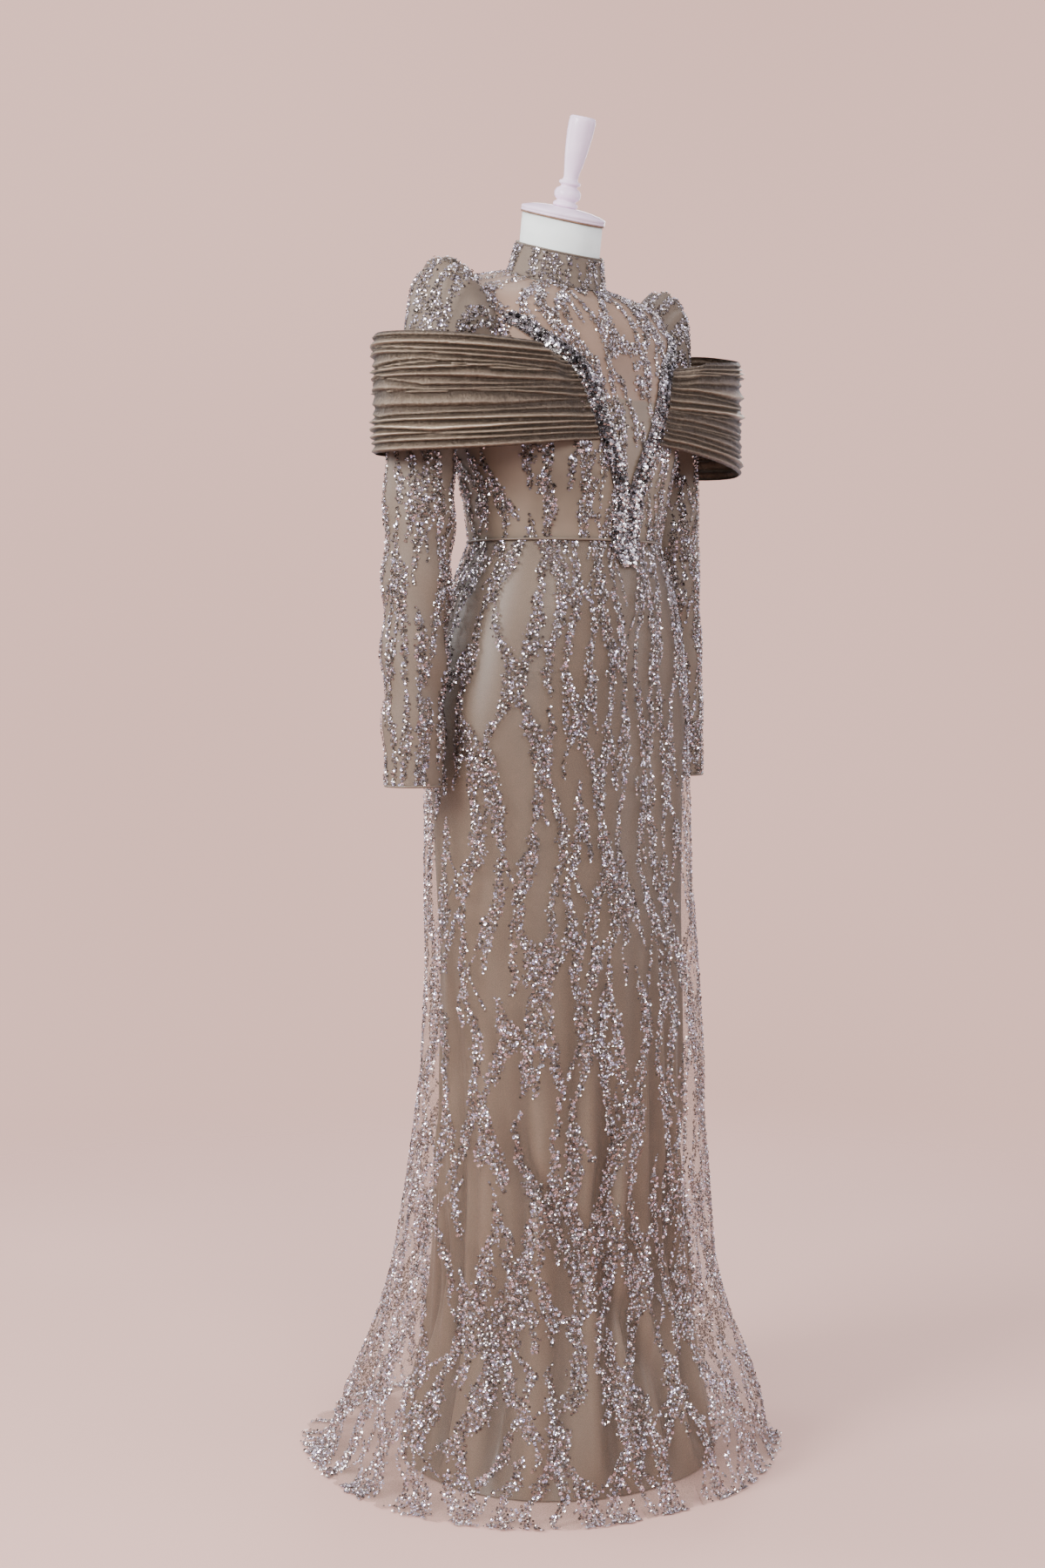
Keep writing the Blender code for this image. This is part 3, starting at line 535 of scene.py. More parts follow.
def lame_material():
    """Crinkled metallic cloth for the pleated bands: a painted highlight on the pleats' ridges and painted
    shade between them.
    """
    made, nodes, links, shader = new_material("pleated_lame")
    # rise: the pleats' height, painted as a highlight on the ridges and as shade in the grooves
    rise = nodes.new("ShaderNodeAttribute")
    rise.attribute_name = "rise"
    stretch = placed_node(nodes, links, "ShaderNodeMapping")
    stretch.inputs["Scale"].default_value = (1.0, 1.0, 0.6)
    crinkle = add_node(nodes, "ShaderNodeTexNoise", scale=230.0, detail=6.0, roughness=0.65)
    links.new(stretch.outputs["Vector"], crinkle.inputs["Vector"])
    tone_and_painted_light = nodes.new("ShaderNodeMath")
    tone_and_painted_light.operation = "MULTIPLY_ADD"
    tone_and_painted_light.inputs[1].default_value = 0.55
    links.new(crinkle.outputs["Fac"], tone_and_painted_light.inputs[0])
    links.new(rise.outputs["Fac"], tone_and_painted_light.inputs[2])
    # Ramp: painted shade in the grooves at the dark end, painted highlight on the ridges at the bright end,
    # crinkle tone between
    tones = ramp(nodes, (
        (0.28, (0.060, 0.042, 0.029)), (0.55, (0.200, 0.150, 0.108)), (0.85, (0.38, 0.295, 0.215)),
        (1.00, (0.70, 0.57, 0.43)),
    ))
    scaled = nodes.new("ShaderNodeMath")
    scaled.operation = "MULTIPLY"
    scaled.inputs[1].default_value = 0.74
    links.new(tone_and_painted_light.outputs["Value"], scaled.inputs[0])
    links.new(scaled.outputs["Value"], tones.inputs["Fac"])
    links.new(tones.outputs["Color"], shader.inputs["Base Color"])
    add_bump(nodes, links, shader, crinkle.outputs["Fac"], 0.85, 0.0030)
    shader.inputs["Metallic"].default_value = 0.7
    shader.inputs["Roughness"].default_value = 0.36
    return made


def jersey_material():
    """Off-white stretch jersey over the padded form."""
    made, nodes, links, shader = new_material("form_jersey")
    noise_colour(nodes, links, shader, (0.80, 0.84, 0.80), (0.88, 0.91, 0.87), 30.0)
    knit = placed_node(nodes, links, "ShaderNodeTexWave", scale=260.0, distortion=2.0)
    add_bump(nodes, links, shader, knit.outputs["Fac"], 0.15, 0.0004)
    shader.inputs["Roughness"].default_value = 0.85
    shader.inputs["Sheen Weight"].default_value = 0.2
    return made


def painted_wood_material():
    """Lilac-white paint on turned wood, with a little wear and grain."""
    made, nodes, links, shader = new_material("painted_wood")
    noise_colour(nodes, links, shader, (0.82, 0.62, 0.79), (0.90, 0.71, 0.86), 22.0)
    grain = placed_node(nodes, links, "ShaderNodeTexNoise", scale=160.0, detail=5.0)
    add_bump(nodes, links, shader, grain.outputs["Fac"], 0.12, 0.0006)
    shader.inputs["Roughness"].default_value = 0.42
    shader.inputs["Coat Weight"].default_value = 0.2
    return made


def bare_wood_material():
    """The bare brown edge under the painted cap."""
    made, nodes, links, shader = new_material("bare_wood")
    noise_colour(nodes, links, shader, (0.16, 0.085, 0.05), (0.28, 0.16, 0.10), 140.0)
    shader.inputs["Roughness"].default_value = 0.7
    return made


def steel_material():
    """Brushed steel of the pole."""
    made, nodes, links, shader = new_material("pole_steel")
    noise_colour(nodes, links, shader, (0.50, 0.50, 0.51), (0.66, 0.66, 0.67), 90.0)
    brush = placed_node(nodes, links, "ShaderNodeTexNoise", scale=400.0, detail=3.0)
    add_bump(nodes, links, shader, brush.outputs["Fac"], 0.08, 0.0002)
    shader.inputs["Metallic"].default_value = 1.0
    shader.inputs["Roughness"].default_value = 0.32
    return made


# The lining satin takes painted shade and highlight from its pieces' rise attribute; binding and seam tape
# have none, so only their tones show
SATIN = satin_material("satin_lining", (0.108, 0.076, 0.052), (0.148, 0.106, 0.073), 0.42)
BINDING = satin_material("satin_binding", (0.125, 0.090, 0.064), (0.175, 0.128, 0.092), 0.42)
TULLE = tulle_material("beaded_tulle", (0.25, 0.175, 0.125), 0.14, 0.38)
SLEEVE_TULLE = tulle_material("sleeve_tulle", (0.150, 0.106, 0.074), 0.86, 1.0)
SEAM = satin_material("seam_tape", (0.10, 0.070, 0.050), (0.15, 0.108, 0.078), 0.55)
BODICE = bodice_material()
# Lame with a painted highlight on the pleat ridges and painted shade in the grooves
LAME = lame_material()
JERSEY = jersey_material()
WOOD = painted_wood_material()
STEEL = steel_material()
EDGE_WOOD = bare_wood_material()
SEQUINS = sequin_material("sequins", (
    (0.00, (0.13, 0.11, 0.10)),
    (0.35, (0.30, 0.26, 0.245)),
    (0.65, (0.48, 0.42, 0.42)),
    (0.85, (0.66, 0.58, 0.74)),
    (1.00, (0.96, 0.92, 1.00)),
), 0.12, 0.97)
BEADS = sequin_material("seed_beads", (
    (0.00, (0.16, 0.135, 0.12)),
    (0.55, (0.42, 0.37, 0.36)),
    (1.00, (0.85, 0.79, 0.90)),
), 0.18, 0.9)
STONES = sequin_material("trim_stones", (
    (0.00, (0.045, 0.041, 0.042)),
    (0.40, (0.16, 0.145, 0.140)),
    (0.72, (0.46, 0.42, 0.43)),
    (1.00, (0.98, 0.95, 1.00)),
), 0.08, 1.0)
TRIM_GROUND = sequin_material("trim_ground", (
    (0.00, (0.06, 0.055, 0.055)),
    (1.00, (0.16, 0.145, 0.14)),
), 0.35, 0.7)


# ---- Embroidery ----------------------------------------------------------------------------------
class Strips:
    """Strips of sequins that run down a piece of cloth, sway, meet, part and branch."""

    def __init__(self, seed, count, span, start, end, radius, width=0.013, grow=0.0, lean=None):
        self.random = np.random.default_rng(seed)
        self.radius = radius
        self.lean = lean
        self.grow = grow
        self.veins = []
        first, last = span
        step = (last - first) / count
        for number in range(count):
            middle = first + (number + 0.5) * step + self.random.normal(0.0, 0.12) * step
            self.add_column(middle, start, end, step, width)

    def add_column(self, middle, start, end, step, width):
        """The strips down one column, with short breaks between them and branches to the next one."""
        waves = self.random.uniform(0.0, TURN, 3)
        lengths = self.random.uniform((0.20, 0.09, 0.035), (0.36, 0.15, 0.06))
        sways = self.random.uniform((0.26, 0.08, 0.03), (0.44, 0.18, 0.07)) * step
        place = start - self.random.uniform(0.0, 0.10)
        while place < end:
            length = self.random.uniform(0.16, 0.48)
            wide = width * self.random.uniform(0.75, 1.25)
            self.veins.append((middle, 0.0, place, place + length, wide, waves, lengths, sways))
            for _ in range(self.random.integers(2, 5)):
                top = place + self.random.uniform(0.0, 0.9) * length
                reach = self.random.uniform(0.05, 0.13)
                side = self.random.choice((-1.0, 1.0)) * step * self.random.uniform(0.45, 1.0)
                thin = width * self.random.uniform(0.35, 0.65)
                self.veins.append((middle, side, top, top + reach, thin, waves, lengths, sways))
            place += length + self.random.uniform(-0.03, 0.03)

    def nearness(self, angles, runs):
        """How near points are to the middle of a strip: 0 there, 1 at its edge and more outside."""
        radius = self.radius(runs)
        moved = angles if self.lean is None else angles - self.lean(angles, runs)
        size = (radius / radius.mean()) ** self.grow
        nearest = np.full(len(angles), 9.0)
        for middle, side, start, end, width, waves, lengths, sways in self.veins:
            inside = (runs > start) & (runs < end)
            if not inside.any():
                continue
            run = runs[inside]
            share = (run - start) / (end - start)
            sway = (sways * np.sin(TURN * run[:, None] / lengths + waves)).sum(axis=1)
            across = side * (share * share * (3.0 - 2.0 * share))
            turned = moved[inside] - middle - across - sway
            gap = np.abs(np.angle(np.exp(1j * turned))) * radius[inside]
            taper = np.minimum(1.0, 2.8 * np.sqrt(np.minimum(share, 1.0 - share)))
            swell = 1.0 + 0.32 * np.sin(TURN * run / lengths[1] + waves[1])
            swell += 0.15 * np.sin(TURN * run / 0.031)
            half = 0.5 * width * taper * swell * size[inside]
            nearest[inside] = np.minimum(nearest[inside], gap / half)
        return nearest


SCATTER_JITTER = 0.16  # of the pitch


def scatter(panel, pitch, random):
    """Fractional rows and columns of points that are about a pitch apart all over a panel."""
    points = panel.points
    down = np.linalg.norm(np.diff(points, axis=0), axis=-1).mean(axis=1)
    downs = np.concatenate(([0.0], np.cumsum(down)))
    rows = []
    columns = []
    levels = np.arange(0.5 * pitch, downs[-1], pitch * 0.866)
    for number, level in enumerate(levels):
        row = np.interp(level, downs, np.arange(len(downs)))
        line = points[int(row)]
        across = np.concatenate(([0.0], np.cumsum(np.linalg.norm(np.diff(line, axis=0), axis=-1))))
        count = max(int(across[-1] / pitch), 1)
        places = (np.arange(count) + 0.25 + 0.5 * (number % 2)) / count * across[-1]
        places += random.normal(0.0, SCATTER_JITTER * pitch, count)
        columns.append(np.interp(places, across, np.arange(len(across))))
        spacing = max(down[min(int(row), len(down) - 1)], 1e-6)
        rows.append(row + random.normal(0.0, SCATTER_JITTER * pitch, count) / spacing)
    rows = np.clip(np.concatenate(rows), 0, points.shape[0] - 1.001)
    columns = np.clip(np.concatenate(columns), 0, points.shape[1] - 1.001)
    return rows, columns


def frames_at(panel, rows, columns, lift):
    """Places, normals and two directions in the cloth at points of a panel."""
    normals = panel.sample(panel.normals, rows, columns)
    normals /= np.linalg.norm(normals, axis=-1, keepdims=True)
    places = panel.sample(panel.points, rows, columns) + normals * lift
    helper = np.where(np.abs(normals[:, 2:3]) > 0.9, (1.0, 0.0, 0.0), (0.0, 0.0, 1.0))
    first = np.cross(helper, normals)
    first /= np.linalg.norm(first, axis=-1, keepdims=True)
    return places, normals, first, np.cross(normals, first)


RING_HOLE = 0.36  # of the radius
RING_CUP = 0.10  # how deep a ring is cupped, of its radius
RING_TILT = 0.30  # how far rings lean, as the spread of a slope


def ring_mesh(name, places, normals, first, second, radii, random):
    """Cupped rings as one mesh, each with a hole and a tilt of its own."""
    count = len(places)
    lean = random.normal(0.0, RING_TILT, (count, 2))
    normal = normals + first * lean[:, :1] + second * lean[:, 1:]
    normal /= np.linalg.norm(normal, axis=-1, keepdims=True)
    along = np.cross(second, normal)
    along /= np.linalg.norm(along, axis=-1, keepdims=True)
    side = np.cross(normal, along)
    spin = random.uniform(0.0, TURN, count)
    sides = RING_SIDES
    points = np.empty((count, 2 * sides, 3))
    for corner in range(sides):
        turn = spin + TURN * corner / sides
        arm = along * np.cos(turn)[:, None] + side * np.sin(turn)[:, None]
        points[:, corner] = places + arm * radii[:, None]
        points[:, corner + sides] = places + (arm * RING_HOLE - normal * RING_CUP) * radii[:, None]
    start = (np.arange(count) * 2 * sides)[:, None, None]
    corners = np.arange(sides)
    following = (corners + 1) % sides
    quads = np.stack((corners, following, following + sides, corners + sides), axis=-1)[None]
    return mesh_object(name, points.reshape(-1, 3), (start + quads).reshape(-1, 4), smooth=False)


def bead_mesh(name, places, normals, first, second, radii, random):
    """Seed beads as one mesh of four-sided drops, each turned its own way."""
    count = len(places)
    spin = random.uniform(0.0, TURN, (count, 1))
    lean = random.normal(0.0, 0.25, (count, 1))
    along = first * np.cos(spin) + second * np.sin(spin)
    across = second * np.cos(spin) - first * np.sin(spin)
    arms = (along, across, -along, -across)
    points = np.empty((count, 5, 3))
    for corner, arm in enumerate(arms):
        points[:, corner] = places + arm * radii[:, None]
    points[:, 4] = places + (normals + along * lean) * radii[:, None]
    start = (np.arange(count) * 5)[:, None, None]
    sides = np.array(((0, 1, 4), (1, 2, 4), (2, 3, 4), (3, 0, 4)))[None]
    return mesh_object(name, points.reshape(-1, 3), (start + sides).reshape(-1, 3), smooth=False)


def embroider(name, panel, strips, seed, keep=None):
    """Sequins mixed with seed beads in the strips of a panel, and beads at their edges. Returns both."""
    random = np.random.default_rng(seed)
    rows, columns = scatter(panel, SEQUIN_PITCH, random)
    angles = panel.sample(panel.angles, rows, columns)
    runs = panel.sample(np.repeat(panel.runs[:, None], panel.angles.shape[1], axis=1), rows, columns)
    near = strips.nearness(angles, runs)
    limit = 1.0 + random.normal(0.0, 0.10, len(near))
    chosen = near < limit
    edges = (near >= limit) & (near < limit + 0.35) & (random.random(len(near)) < 0.30)
    if keep is not None:
        allowed = keep(angles, runs)
        chosen &= allowed
        edges &= allowed
    rings = chosen & (random.random(len(near)) < RING_SHARE)
    beads = (chosen & ~rings) | edges
    places, normals, first, second = frames_at(panel, rows[rings], columns[rings], SEQUIN_LIFT)
    places += normals * random.uniform(0.0, 0.0008, len(places))[:, None]
    radii = SEQUIN_RADIUS * random.uniform(0.80, 1.12, len(places))
    discs = ring_mesh(f"{name}_sequins", places, normals, first, second, radii, random)
    places, normals, first, second = frames_at(panel, rows[beads], columns[beads], 0.5 * SEQUIN_LIFT)
    radii = random.uniform(0.0014, 0.0022, len(places))
    drops = bead_mesh(f"{name}_beads", places, normals, first, second, radii, random)
    return [dress(discs, SEQUINS), dress(drops, BEADS)]


# ---- Panels --------------------------------------------------------------------------------------
SKIRT_RUNS = runs_of(SKIRT, 2)
LINING_RUNS = runs_of(LINING, 2)
BODY_RUNS = runs_of(BODY, 3)
SIDE_ANGLE = float(angle_at(body_rows([WAIST]), 1, ARMHOLE_DEPTH)[0])

# angle and run where a crease starts and ends, its depth and its width
LINING_CREASES = (
    (-66.0, 0.72, -43.0, 0.81, 0.0159, 0.019),
    (-16.0, 0.69, -34.0, 0.83, 0.0145, 0.017),
    (-24.0, 0.87, -4.0, 0.98, 0.0159, 0.019),
    (-84.0, 0.86, -72.0, 1.04, 0.0130, 0.020),
    (24.0, 0.74, 10.0, 0.92, 0.0116, 0.019),
    (62.0, 0.70, 46.0, 0.86, 0.0138, 0.019),
    (128.0, 0.72, 150.0, 0.88, 0.0138, 0.020),
    (176.0, 0.80, 160.0, 0.98, 0.0152, 0.020),
    (-140.0, 0.70, -160.0, 0.86, 0.0130, 0.019),
    (-112.0, 0.84, -124.0, 1.00, 0.0138, 0.020),
)


def crease_depth(angles, runs, creases, radius):
    """How far soft creases push cloth in, at points of it."""
    depth = np.zeros_like(angles)
    for first, start, last, end, deep, wide in creases:
        along = np.clip((runs - start) / (end - start), 0.0, 1.0)
        middle = np.radians(first + (last - first) * along)
        gap = (np.angle(np.exp(1j * (angles - middle)))) * radius
        beyond = np.maximum(np.maximum(start - runs, runs - end), 0.0)
        fade = np.exp(-((beyond / 0.03) ** 2)) * np.sqrt(np.clip(np.sin(math.pi * along) + 0.25, 0.0, 1.0))
        shape = np.exp(-((gap / wide) ** 2)) - 0.45 * np.exp(-(((gap - 1.5 * wide) / wide) ** 2))
        depth += deep * fade * shape
    return depth


def skirt_panel(table, keys, first, last, columns, rows, creases=(), ripple=0.0):
    """A panel of a skirt between two angles, with its folds."""
    runs = np.linspace(0.0, keys[-1], rows)
    row = smooth_columns(keys, table, runs)[:, None, :]
    angles = np.broadcast_to(np.linspace(first, last, columns), (rows, columns)).copy()
    points = skirt_points(angles, np.broadcast_to(row, (rows, columns, row.shape[-1])))
    radius = row[..., 2]
    outward = points - AXIS
    outward[..., 2] = 0.0
    outward /= np.linalg.norm(outward, axis=-1, keepdims=True)
    down = np.clip((runs[:, None] - 0.45) / 0.5, 0.0, 1.0)
    floor = np.clip((points[..., 2]) / 0.05, 0.0, 1.0)
    wave = np.sin(17.0 * angles + 3.0 * np.sin(2.0 * angles) + 2.2 * runs[:, None])
    wave += 0.5 * np.sin(29.0 * angles + 1.3 - 3.1 * runs[:, None])
    push = ripple * wave * down * floor
    if creases:
        push = push - crease_depth(angles, np.broadcast_to(runs[:, None], angles.shape), creases, radius)
    points = points + outward * push[..., None]
    points[..., 2] = np.maximum(points[..., 2], WALL * 0.5)
    made = Panel(points, angles, runs)
    made.push = push + 0.0 * angles
    return made


def skirt_radius(runs):
    """The skirt's mean radius at distances down it."""
    return smooth_columns(SKIRT_RUNS, SKIRT, runs)[:, 2:5].mean(axis=1)


HEM_SCALLOP = 0.013
HEM_RAGGED = 0.004


def hem_reach(angles):
    """How far the tulle is cut back from its longest, in rounded scallops of uneven size."""
    tooth = np.abs(np.sin(26.0 * angles + 2.0 * np.sin(3.0 * angles)))
    small = np.abs(np.sin(61.0 * angles + 1.0))
    return HEM_SCALLOP * (1.0 - tooth) + HEM_RAGGED * small


def make_skirts():
    """The tulle skirt in three panels with its embroidery, over the satin lining in two."""
    end = SKIRT_RUNS[-1]
    around = (-math.pi, math.pi)
    first = Strips(11, 32, around, -0.02, end + 0.02, skirt_radius, width=0.0130, grow=0.8)
    flare = Strips(12, 25, around, 0.80, end + 0.02, skirt_radius, width=0.0092)
    first.veins += flare.veins

    def before_edge(angles, runs):
        return runs < end - 0.5 * hem_reach(angles)

    panels = (
        ("skirt_front", -SIDE_ANGLE, SIDE_ANGLE, 128, (0.83, 1.16), 0.66),
        ("skirt_back_left", SIDE_ANGLE, math.pi, 68, (0.42, 1.21), 0.34),
        ("skirt_back_right", -math.pi, -SIDE_ANGLE, 68, (0.42, 1.21), 0.34),
    )
    for number, (name, start, last, columns, flat, area) in enumerate(panels):
        panel = skirt_panel(SKIRT, SKIRT_RUNS, start, last, columns, 120, ripple=0.0022)
        made = embroider(name, panel, first, 100 + number, keep=before_edge)
        trimmed = trim_hem(panel)
        piece = shell(f"{name}_tulle", trimmed, TULLE, (name,))
    for name, start, last, flat, area in (
        ("lining_front", -SIDE_ANGLE, SIDE_ANGLE, (0.62, 1.13), 0.55),
        ("lining_back", SIDE_ANGLE, TURN - SIDE_ANGLE, (0.58, 1.13), 0.52),
    ):
        panel = skirt_panel(LINING, LINING_RUNS, start, last, 112, 92, LINING_CREASES, ripple=0.0085)
        piece = shell(f"{name}_satin", panel, SATIN, (name,))
        # The lining's fold push is kept as its rise attribute; the satin paints it as shade in the troughs
        # and a highlight on the crests
        folds = piece.data.attributes.new("rise", "FLOAT", "POINT")
        folds.data.foreach_set("value", np.clip(panel.push / 0.012, -1.0, 1.0).astype(np.float32).ravel())


def trim_hem(panel):
    """The panel with its last rows drawn back to the scalloped cut edge."""
    points = panel.points.copy()
    reach = hem_reach(panel.angles[-1])
    step = np.linalg.norm(points[-1] - points[-2], axis=-1)
    back = reach / np.maximum(step, 1e-6)
    last = len(points) - 1
    for column in range(points.shape[1]):
        rows = np.minimum(np.arange(last + 1), last - back[column])
        low = np.clip(rows.astype(int), 0, last - 1)
        share = (rows - low)[:, None]
        points[:, column] = panel.points[low, column] * (1 - share) + panel.points[low + 1, column] * share
    return Panel(points, panel.angles, panel.runs)


def armhole_edge(heights, way):
    """Angles where a bodice panel ends beside the armhole, or at its seam."""
    share = (heights - ARMHOLE_HEIGHT) / ARMHOLE_HALF_HEIGHT
    opening = ARMHOLE_HALF_DEPTH * np.sqrt(np.maximum(0.0, 1.0 - share * share))
    return angle_at(body_rows(heights), 1, ARMHOLE_DEPTH + way * opening)


def bodice_panel(edges, rows, columns):
    """A bodice panel between two edges, each angles for the section heights."""
    runs = np.linspace(0.0, BODY_RUNS[-1], rows)
    row = smooth_columns(BODY_RUNS, BODY, runs)
    start, end = edges(row[:, 0])
    share = np.linspace(0.0, 1.0, columns)
    angles = start[:, None] + (end - start)[:, None] * share
    points = body_points(angles, np.broadcast_to(row[:, None, :], (rows, columns, row.shape[-1])))
    order = slice(None, None, -1)
    return Panel(points[order], angles[order], BODY_RUNS[-1] - runs[order])


def body_radius(runs):
    """The bodice's mean radius at distances down from the neck."""
    places = np.clip(BODY_RUNS[-1] - runs, 0.0, BODY_RUNS[-1])
    return smooth_columns(BODY_RUNS, BODY, places)[:, 3:6].mean(axis=1)


def chest_lean(angles, runs):
    """Strips on the chest run down towards the centre front."""
    high = np.clip(0.23 - runs, 0.0, 0.23)
    wrapped = np.angle(np.exp(1j * angles))
    return np.sign(wrapped) * np.minimum(1.0, np.abs(wrapped) / 0.25) * high * 2.2 * (np.abs(wrapped) < 1.7)


def make_bodice():
    """Front and two backs, with the strips leaning across the chest."""
    strips = Strips(21, 27, (-math.pi, math.pi), -0.02, BODY_RUNS[-1], body_radius, width=0.0116, grow=0.5,
                    lean=chest_lean)

    def front(heights):
        edge = armhole_edge(heights, -1)
        return -edge, edge

    def back_left(heights):
        return armhole_edge(heights, 1), np.full(len(heights), math.pi)

    def back_right(heights):
        return np.full(len(heights), math.pi), TURN - armhole_edge(heights, 1)

    panels = (
        ("bodice_front", front, 88, (0.42, 0.42), 0.112),
        ("bodice_back_left", back_left, 50, (0.20, 0.42), 0.055),
        ("bodice_back_right", back_right, 50, (0.20, 0.42), 0.055),
    )
    for number, (name, edges, columns, flat, area) in enumerate(panels):
        panel = bodice_panel(edges, 84, columns)
        made = embroider(name, panel, strips, 200 + number)
        piece = shell(f"{name}_tulle", panel, BODICE, (name,), lift=-0.0004)


def sleeve_panel(side, rows, columns):
    """A sleeve from the armhole down to the cuff, with gathers in its head and soft folds at the elbow."""
    turns = np.linspace(0.0, TURN, columns) - 0.5 * math.pi
    heights = ARMHOLE_HEIGHT + ARMHOLE_HALF_HEIGHT * np.sin(turns)
    behind = np.cos(turns) > 0.0
    edge = np.where(behind, armhole_edge(heights, 1), armhole_edge(heights, -1))
    rings = [body_points(edge, body_rows(heights)) - AXIS]
    for outer_x, outer_z, inner_x, inner_z, middle, half_depth in SLEEVE:
        outer = np.array((outer_x, middle, outer_z))
        inner = np.array((inner_x, middle, inner_z))
        centre = 0.5 * (outer + inner)
        half = 0.5 * (outer - inner)
        depth = np.array((0.0, half_depth, 0.0))
        rings.append(centre + np.outer(np.sin(turns), half) + np.outer(np.cos(turns), depth))
    rings = np.array(rings)
    middles = rings.mean(axis=1)
    keys = np.concatenate(([0.0], np.cumsum(np.linalg.norm(np.diff(middles, axis=0), axis=-1))))
    runs = np.linspace(0.0, keys[-1], rows)
    flat = smooth_columns(keys, rings.reshape(len(rings), -1), runs)
    points = flat.reshape(rows, columns, 3)
    centres = points.mean(axis=1, keepdims=True)
    outward = points - centres
    outward /= np.linalg.norm(outward, axis=-1, keepdims=True)
    head = np.exp(-((runs[:, None] - 0.030) / 0.030) ** 2) * np.clip(np.sin(turns), 0.0, 1.0) ** 0.5
    gathers = 0.0036 * head * np.sin(15.0 * turns + 0.9 * np.sin(3.0 * turns) + 6.0 * runs[:, None])
    drag = np.sin(TURN * runs[:, None] / 0.085 + 2.4 * np.sin(turns + 0.5)) * np.cos(turns - 0.6)
    slack = 0.0028 * drag * np.clip((runs[:, None] - 0.16) / 0.12, 0.0, 1.0)
    slack *= np.clip((keys[-1] - runs[:, None]) / 0.08, 0.0, 1.0)
    points = points + outward * (gathers + slack)[..., None]
    points[..., 0] *= side
    angles = np.broadcast_to(turns, (rows, columns)).copy()
    return Panel(points + AXIS, angles, runs, outward=-side)


def make_sleeves():
    """Both sleeves with their embroidery, and the satin binding of each cuff."""
    def radius(runs):
        return np.interp(runs, (0.0, 0.05, 0.2, 0.62), (0.054, 0.054, 0.044, 0.036))

    for side, wearer_side, seed in ((1, "left", 31), (-1, "right", 33)):
        around = (-0.5 * math.pi, 1.5 * math.pi)
        strips = Strips(seed, 13, around, -0.06, 0.70, radius, width=0.0118, grow=1.3)
        panel = sleeve_panel(side, 112, 65)
        name = f"sleeve_{wearer_side}"
        made = embroider(name, panel, strips, 300 + seed)
        piece = shell(f"{name}_tulle", panel, SLEEVE_TULLE, (name,))
        ring = panel.points[-1][:-1] - np.array((0.0, 0.0, CUFF_BINDING_RADIUS + 0.0003))
        tube(f"cuff_binding_{wearer_side}_satin", ring, CUFF_BINDING_RADIUS, BINDING,
             (f"cuff_binding_{wearer_side}",), True)


# ---- Neck, collar and piping ---------------------------------------------------------------------
def neck_middle(rise):
    """A point on the neck's leaning axis."""
    return AXIS + NECK_FOOT + np.array((0.0, -rise * math.sin(NECK_LEAN), rise * math.cos(NECK_LEAN)))


def neck_ring(radius, rise, angles):
    """A tilted circle round the neck."""
    across = radius * np.sin(angles)
    along = -radius * np.cos(angles)
    offsets = np.stack((across, along * math.cos(NECK_TILT), along * math.sin(NECK_TILT)), axis=-1)
    return neck_middle(rise) + offsets


def make_collar():
    """The stand collar with its strips, bound top edge and seam, and the piping over the waist seam."""
    angles = np.linspace(-math.pi, math.pi, 150)
    shares = np.linspace(1.0, 0.0, 24)
    rings = [
        neck_ring(
            COLLAR_FOOT_RADIUS + (COLLAR_TOP_RADIUS - COLLAR_FOOT_RADIUS) * share ** 0.8,
            0.0003 + COLLAR_HEIGHT * share, angles,
        )
        for share in shares
    ]
    runs = COLLAR_HEIGHT * (1.0 - shares)
    panel = Panel(np.array(rings), np.broadcast_to(angles, (24, 150)).copy(), runs)

    def radius(runs):
        return np.full(len(runs), 0.057)

    strips = Strips(41, 17, (-math.pi, math.pi), -0.05, 0.06, radius, width=0.0115)
    made = embroider("collar", panel, strips, 400)
    piece = shell("collar_tulle", panel, SLEEVE_TULLE, ("collar",), lift=-0.0004)
    bound = neck_ring(COLLAR_TOP_RADIUS - 0.5 * WALL, COLLAR_HEIGHT + 0.0017, angles[:-1])
    tube("collar_binding_satin", bound, 0.0014, BINDING, ("collar_binding",), True)
    seam = neck_ring(COLLAR_FOOT_RADIUS + 0.0008, 0.0012, angles[:-1])
    tube("collar_seam", seam, 0.0008, SEAM, (), True)
    start = float(angle_at(body_rows([WAIST]), 0, 0.0240, 0.0, 0.5 * math.pi)[0])
    sweep = np.linspace(start, TURN - start, 160)
    ring = body_points(sweep, np.repeat(body_rows([WAIST]), 160, axis=0))
    outward = ring - AXIS
    outward[:, 2] = 0.0
    outward /= np.linalg.norm(outward, axis=-1, keepdims=True)
    piping = ring + outward * 0.0023
    piping[:, 2] = WAIST + 0.0003
    tube("waist_piping_satin", piping, 0.0014, BINDING, ("waist_piping",), False)


# ---- Jewelled trim -------------------------------------------------------------------------------
def trim_middle(heights):
    """Middle x, half width and sideways lean of the left trim at some heights."""
    step = 0.002
    low, high = TRIM[0, 0], TRIM[-1, 0]
    row = smooth_columns(TRIM[:, 0], TRIM, heights)
    above = smooth_columns(TRIM[:, 0], TRIM, np.clip(heights + step, low, high))
    below = smooth_columns(TRIM[:, 0], TRIM, np.clip(heights - step, low, high))
    return row[:, 1], row[:, 2], (above[:, 1] - below[:, 1]) / (above[:, 0] - below[:, 0])


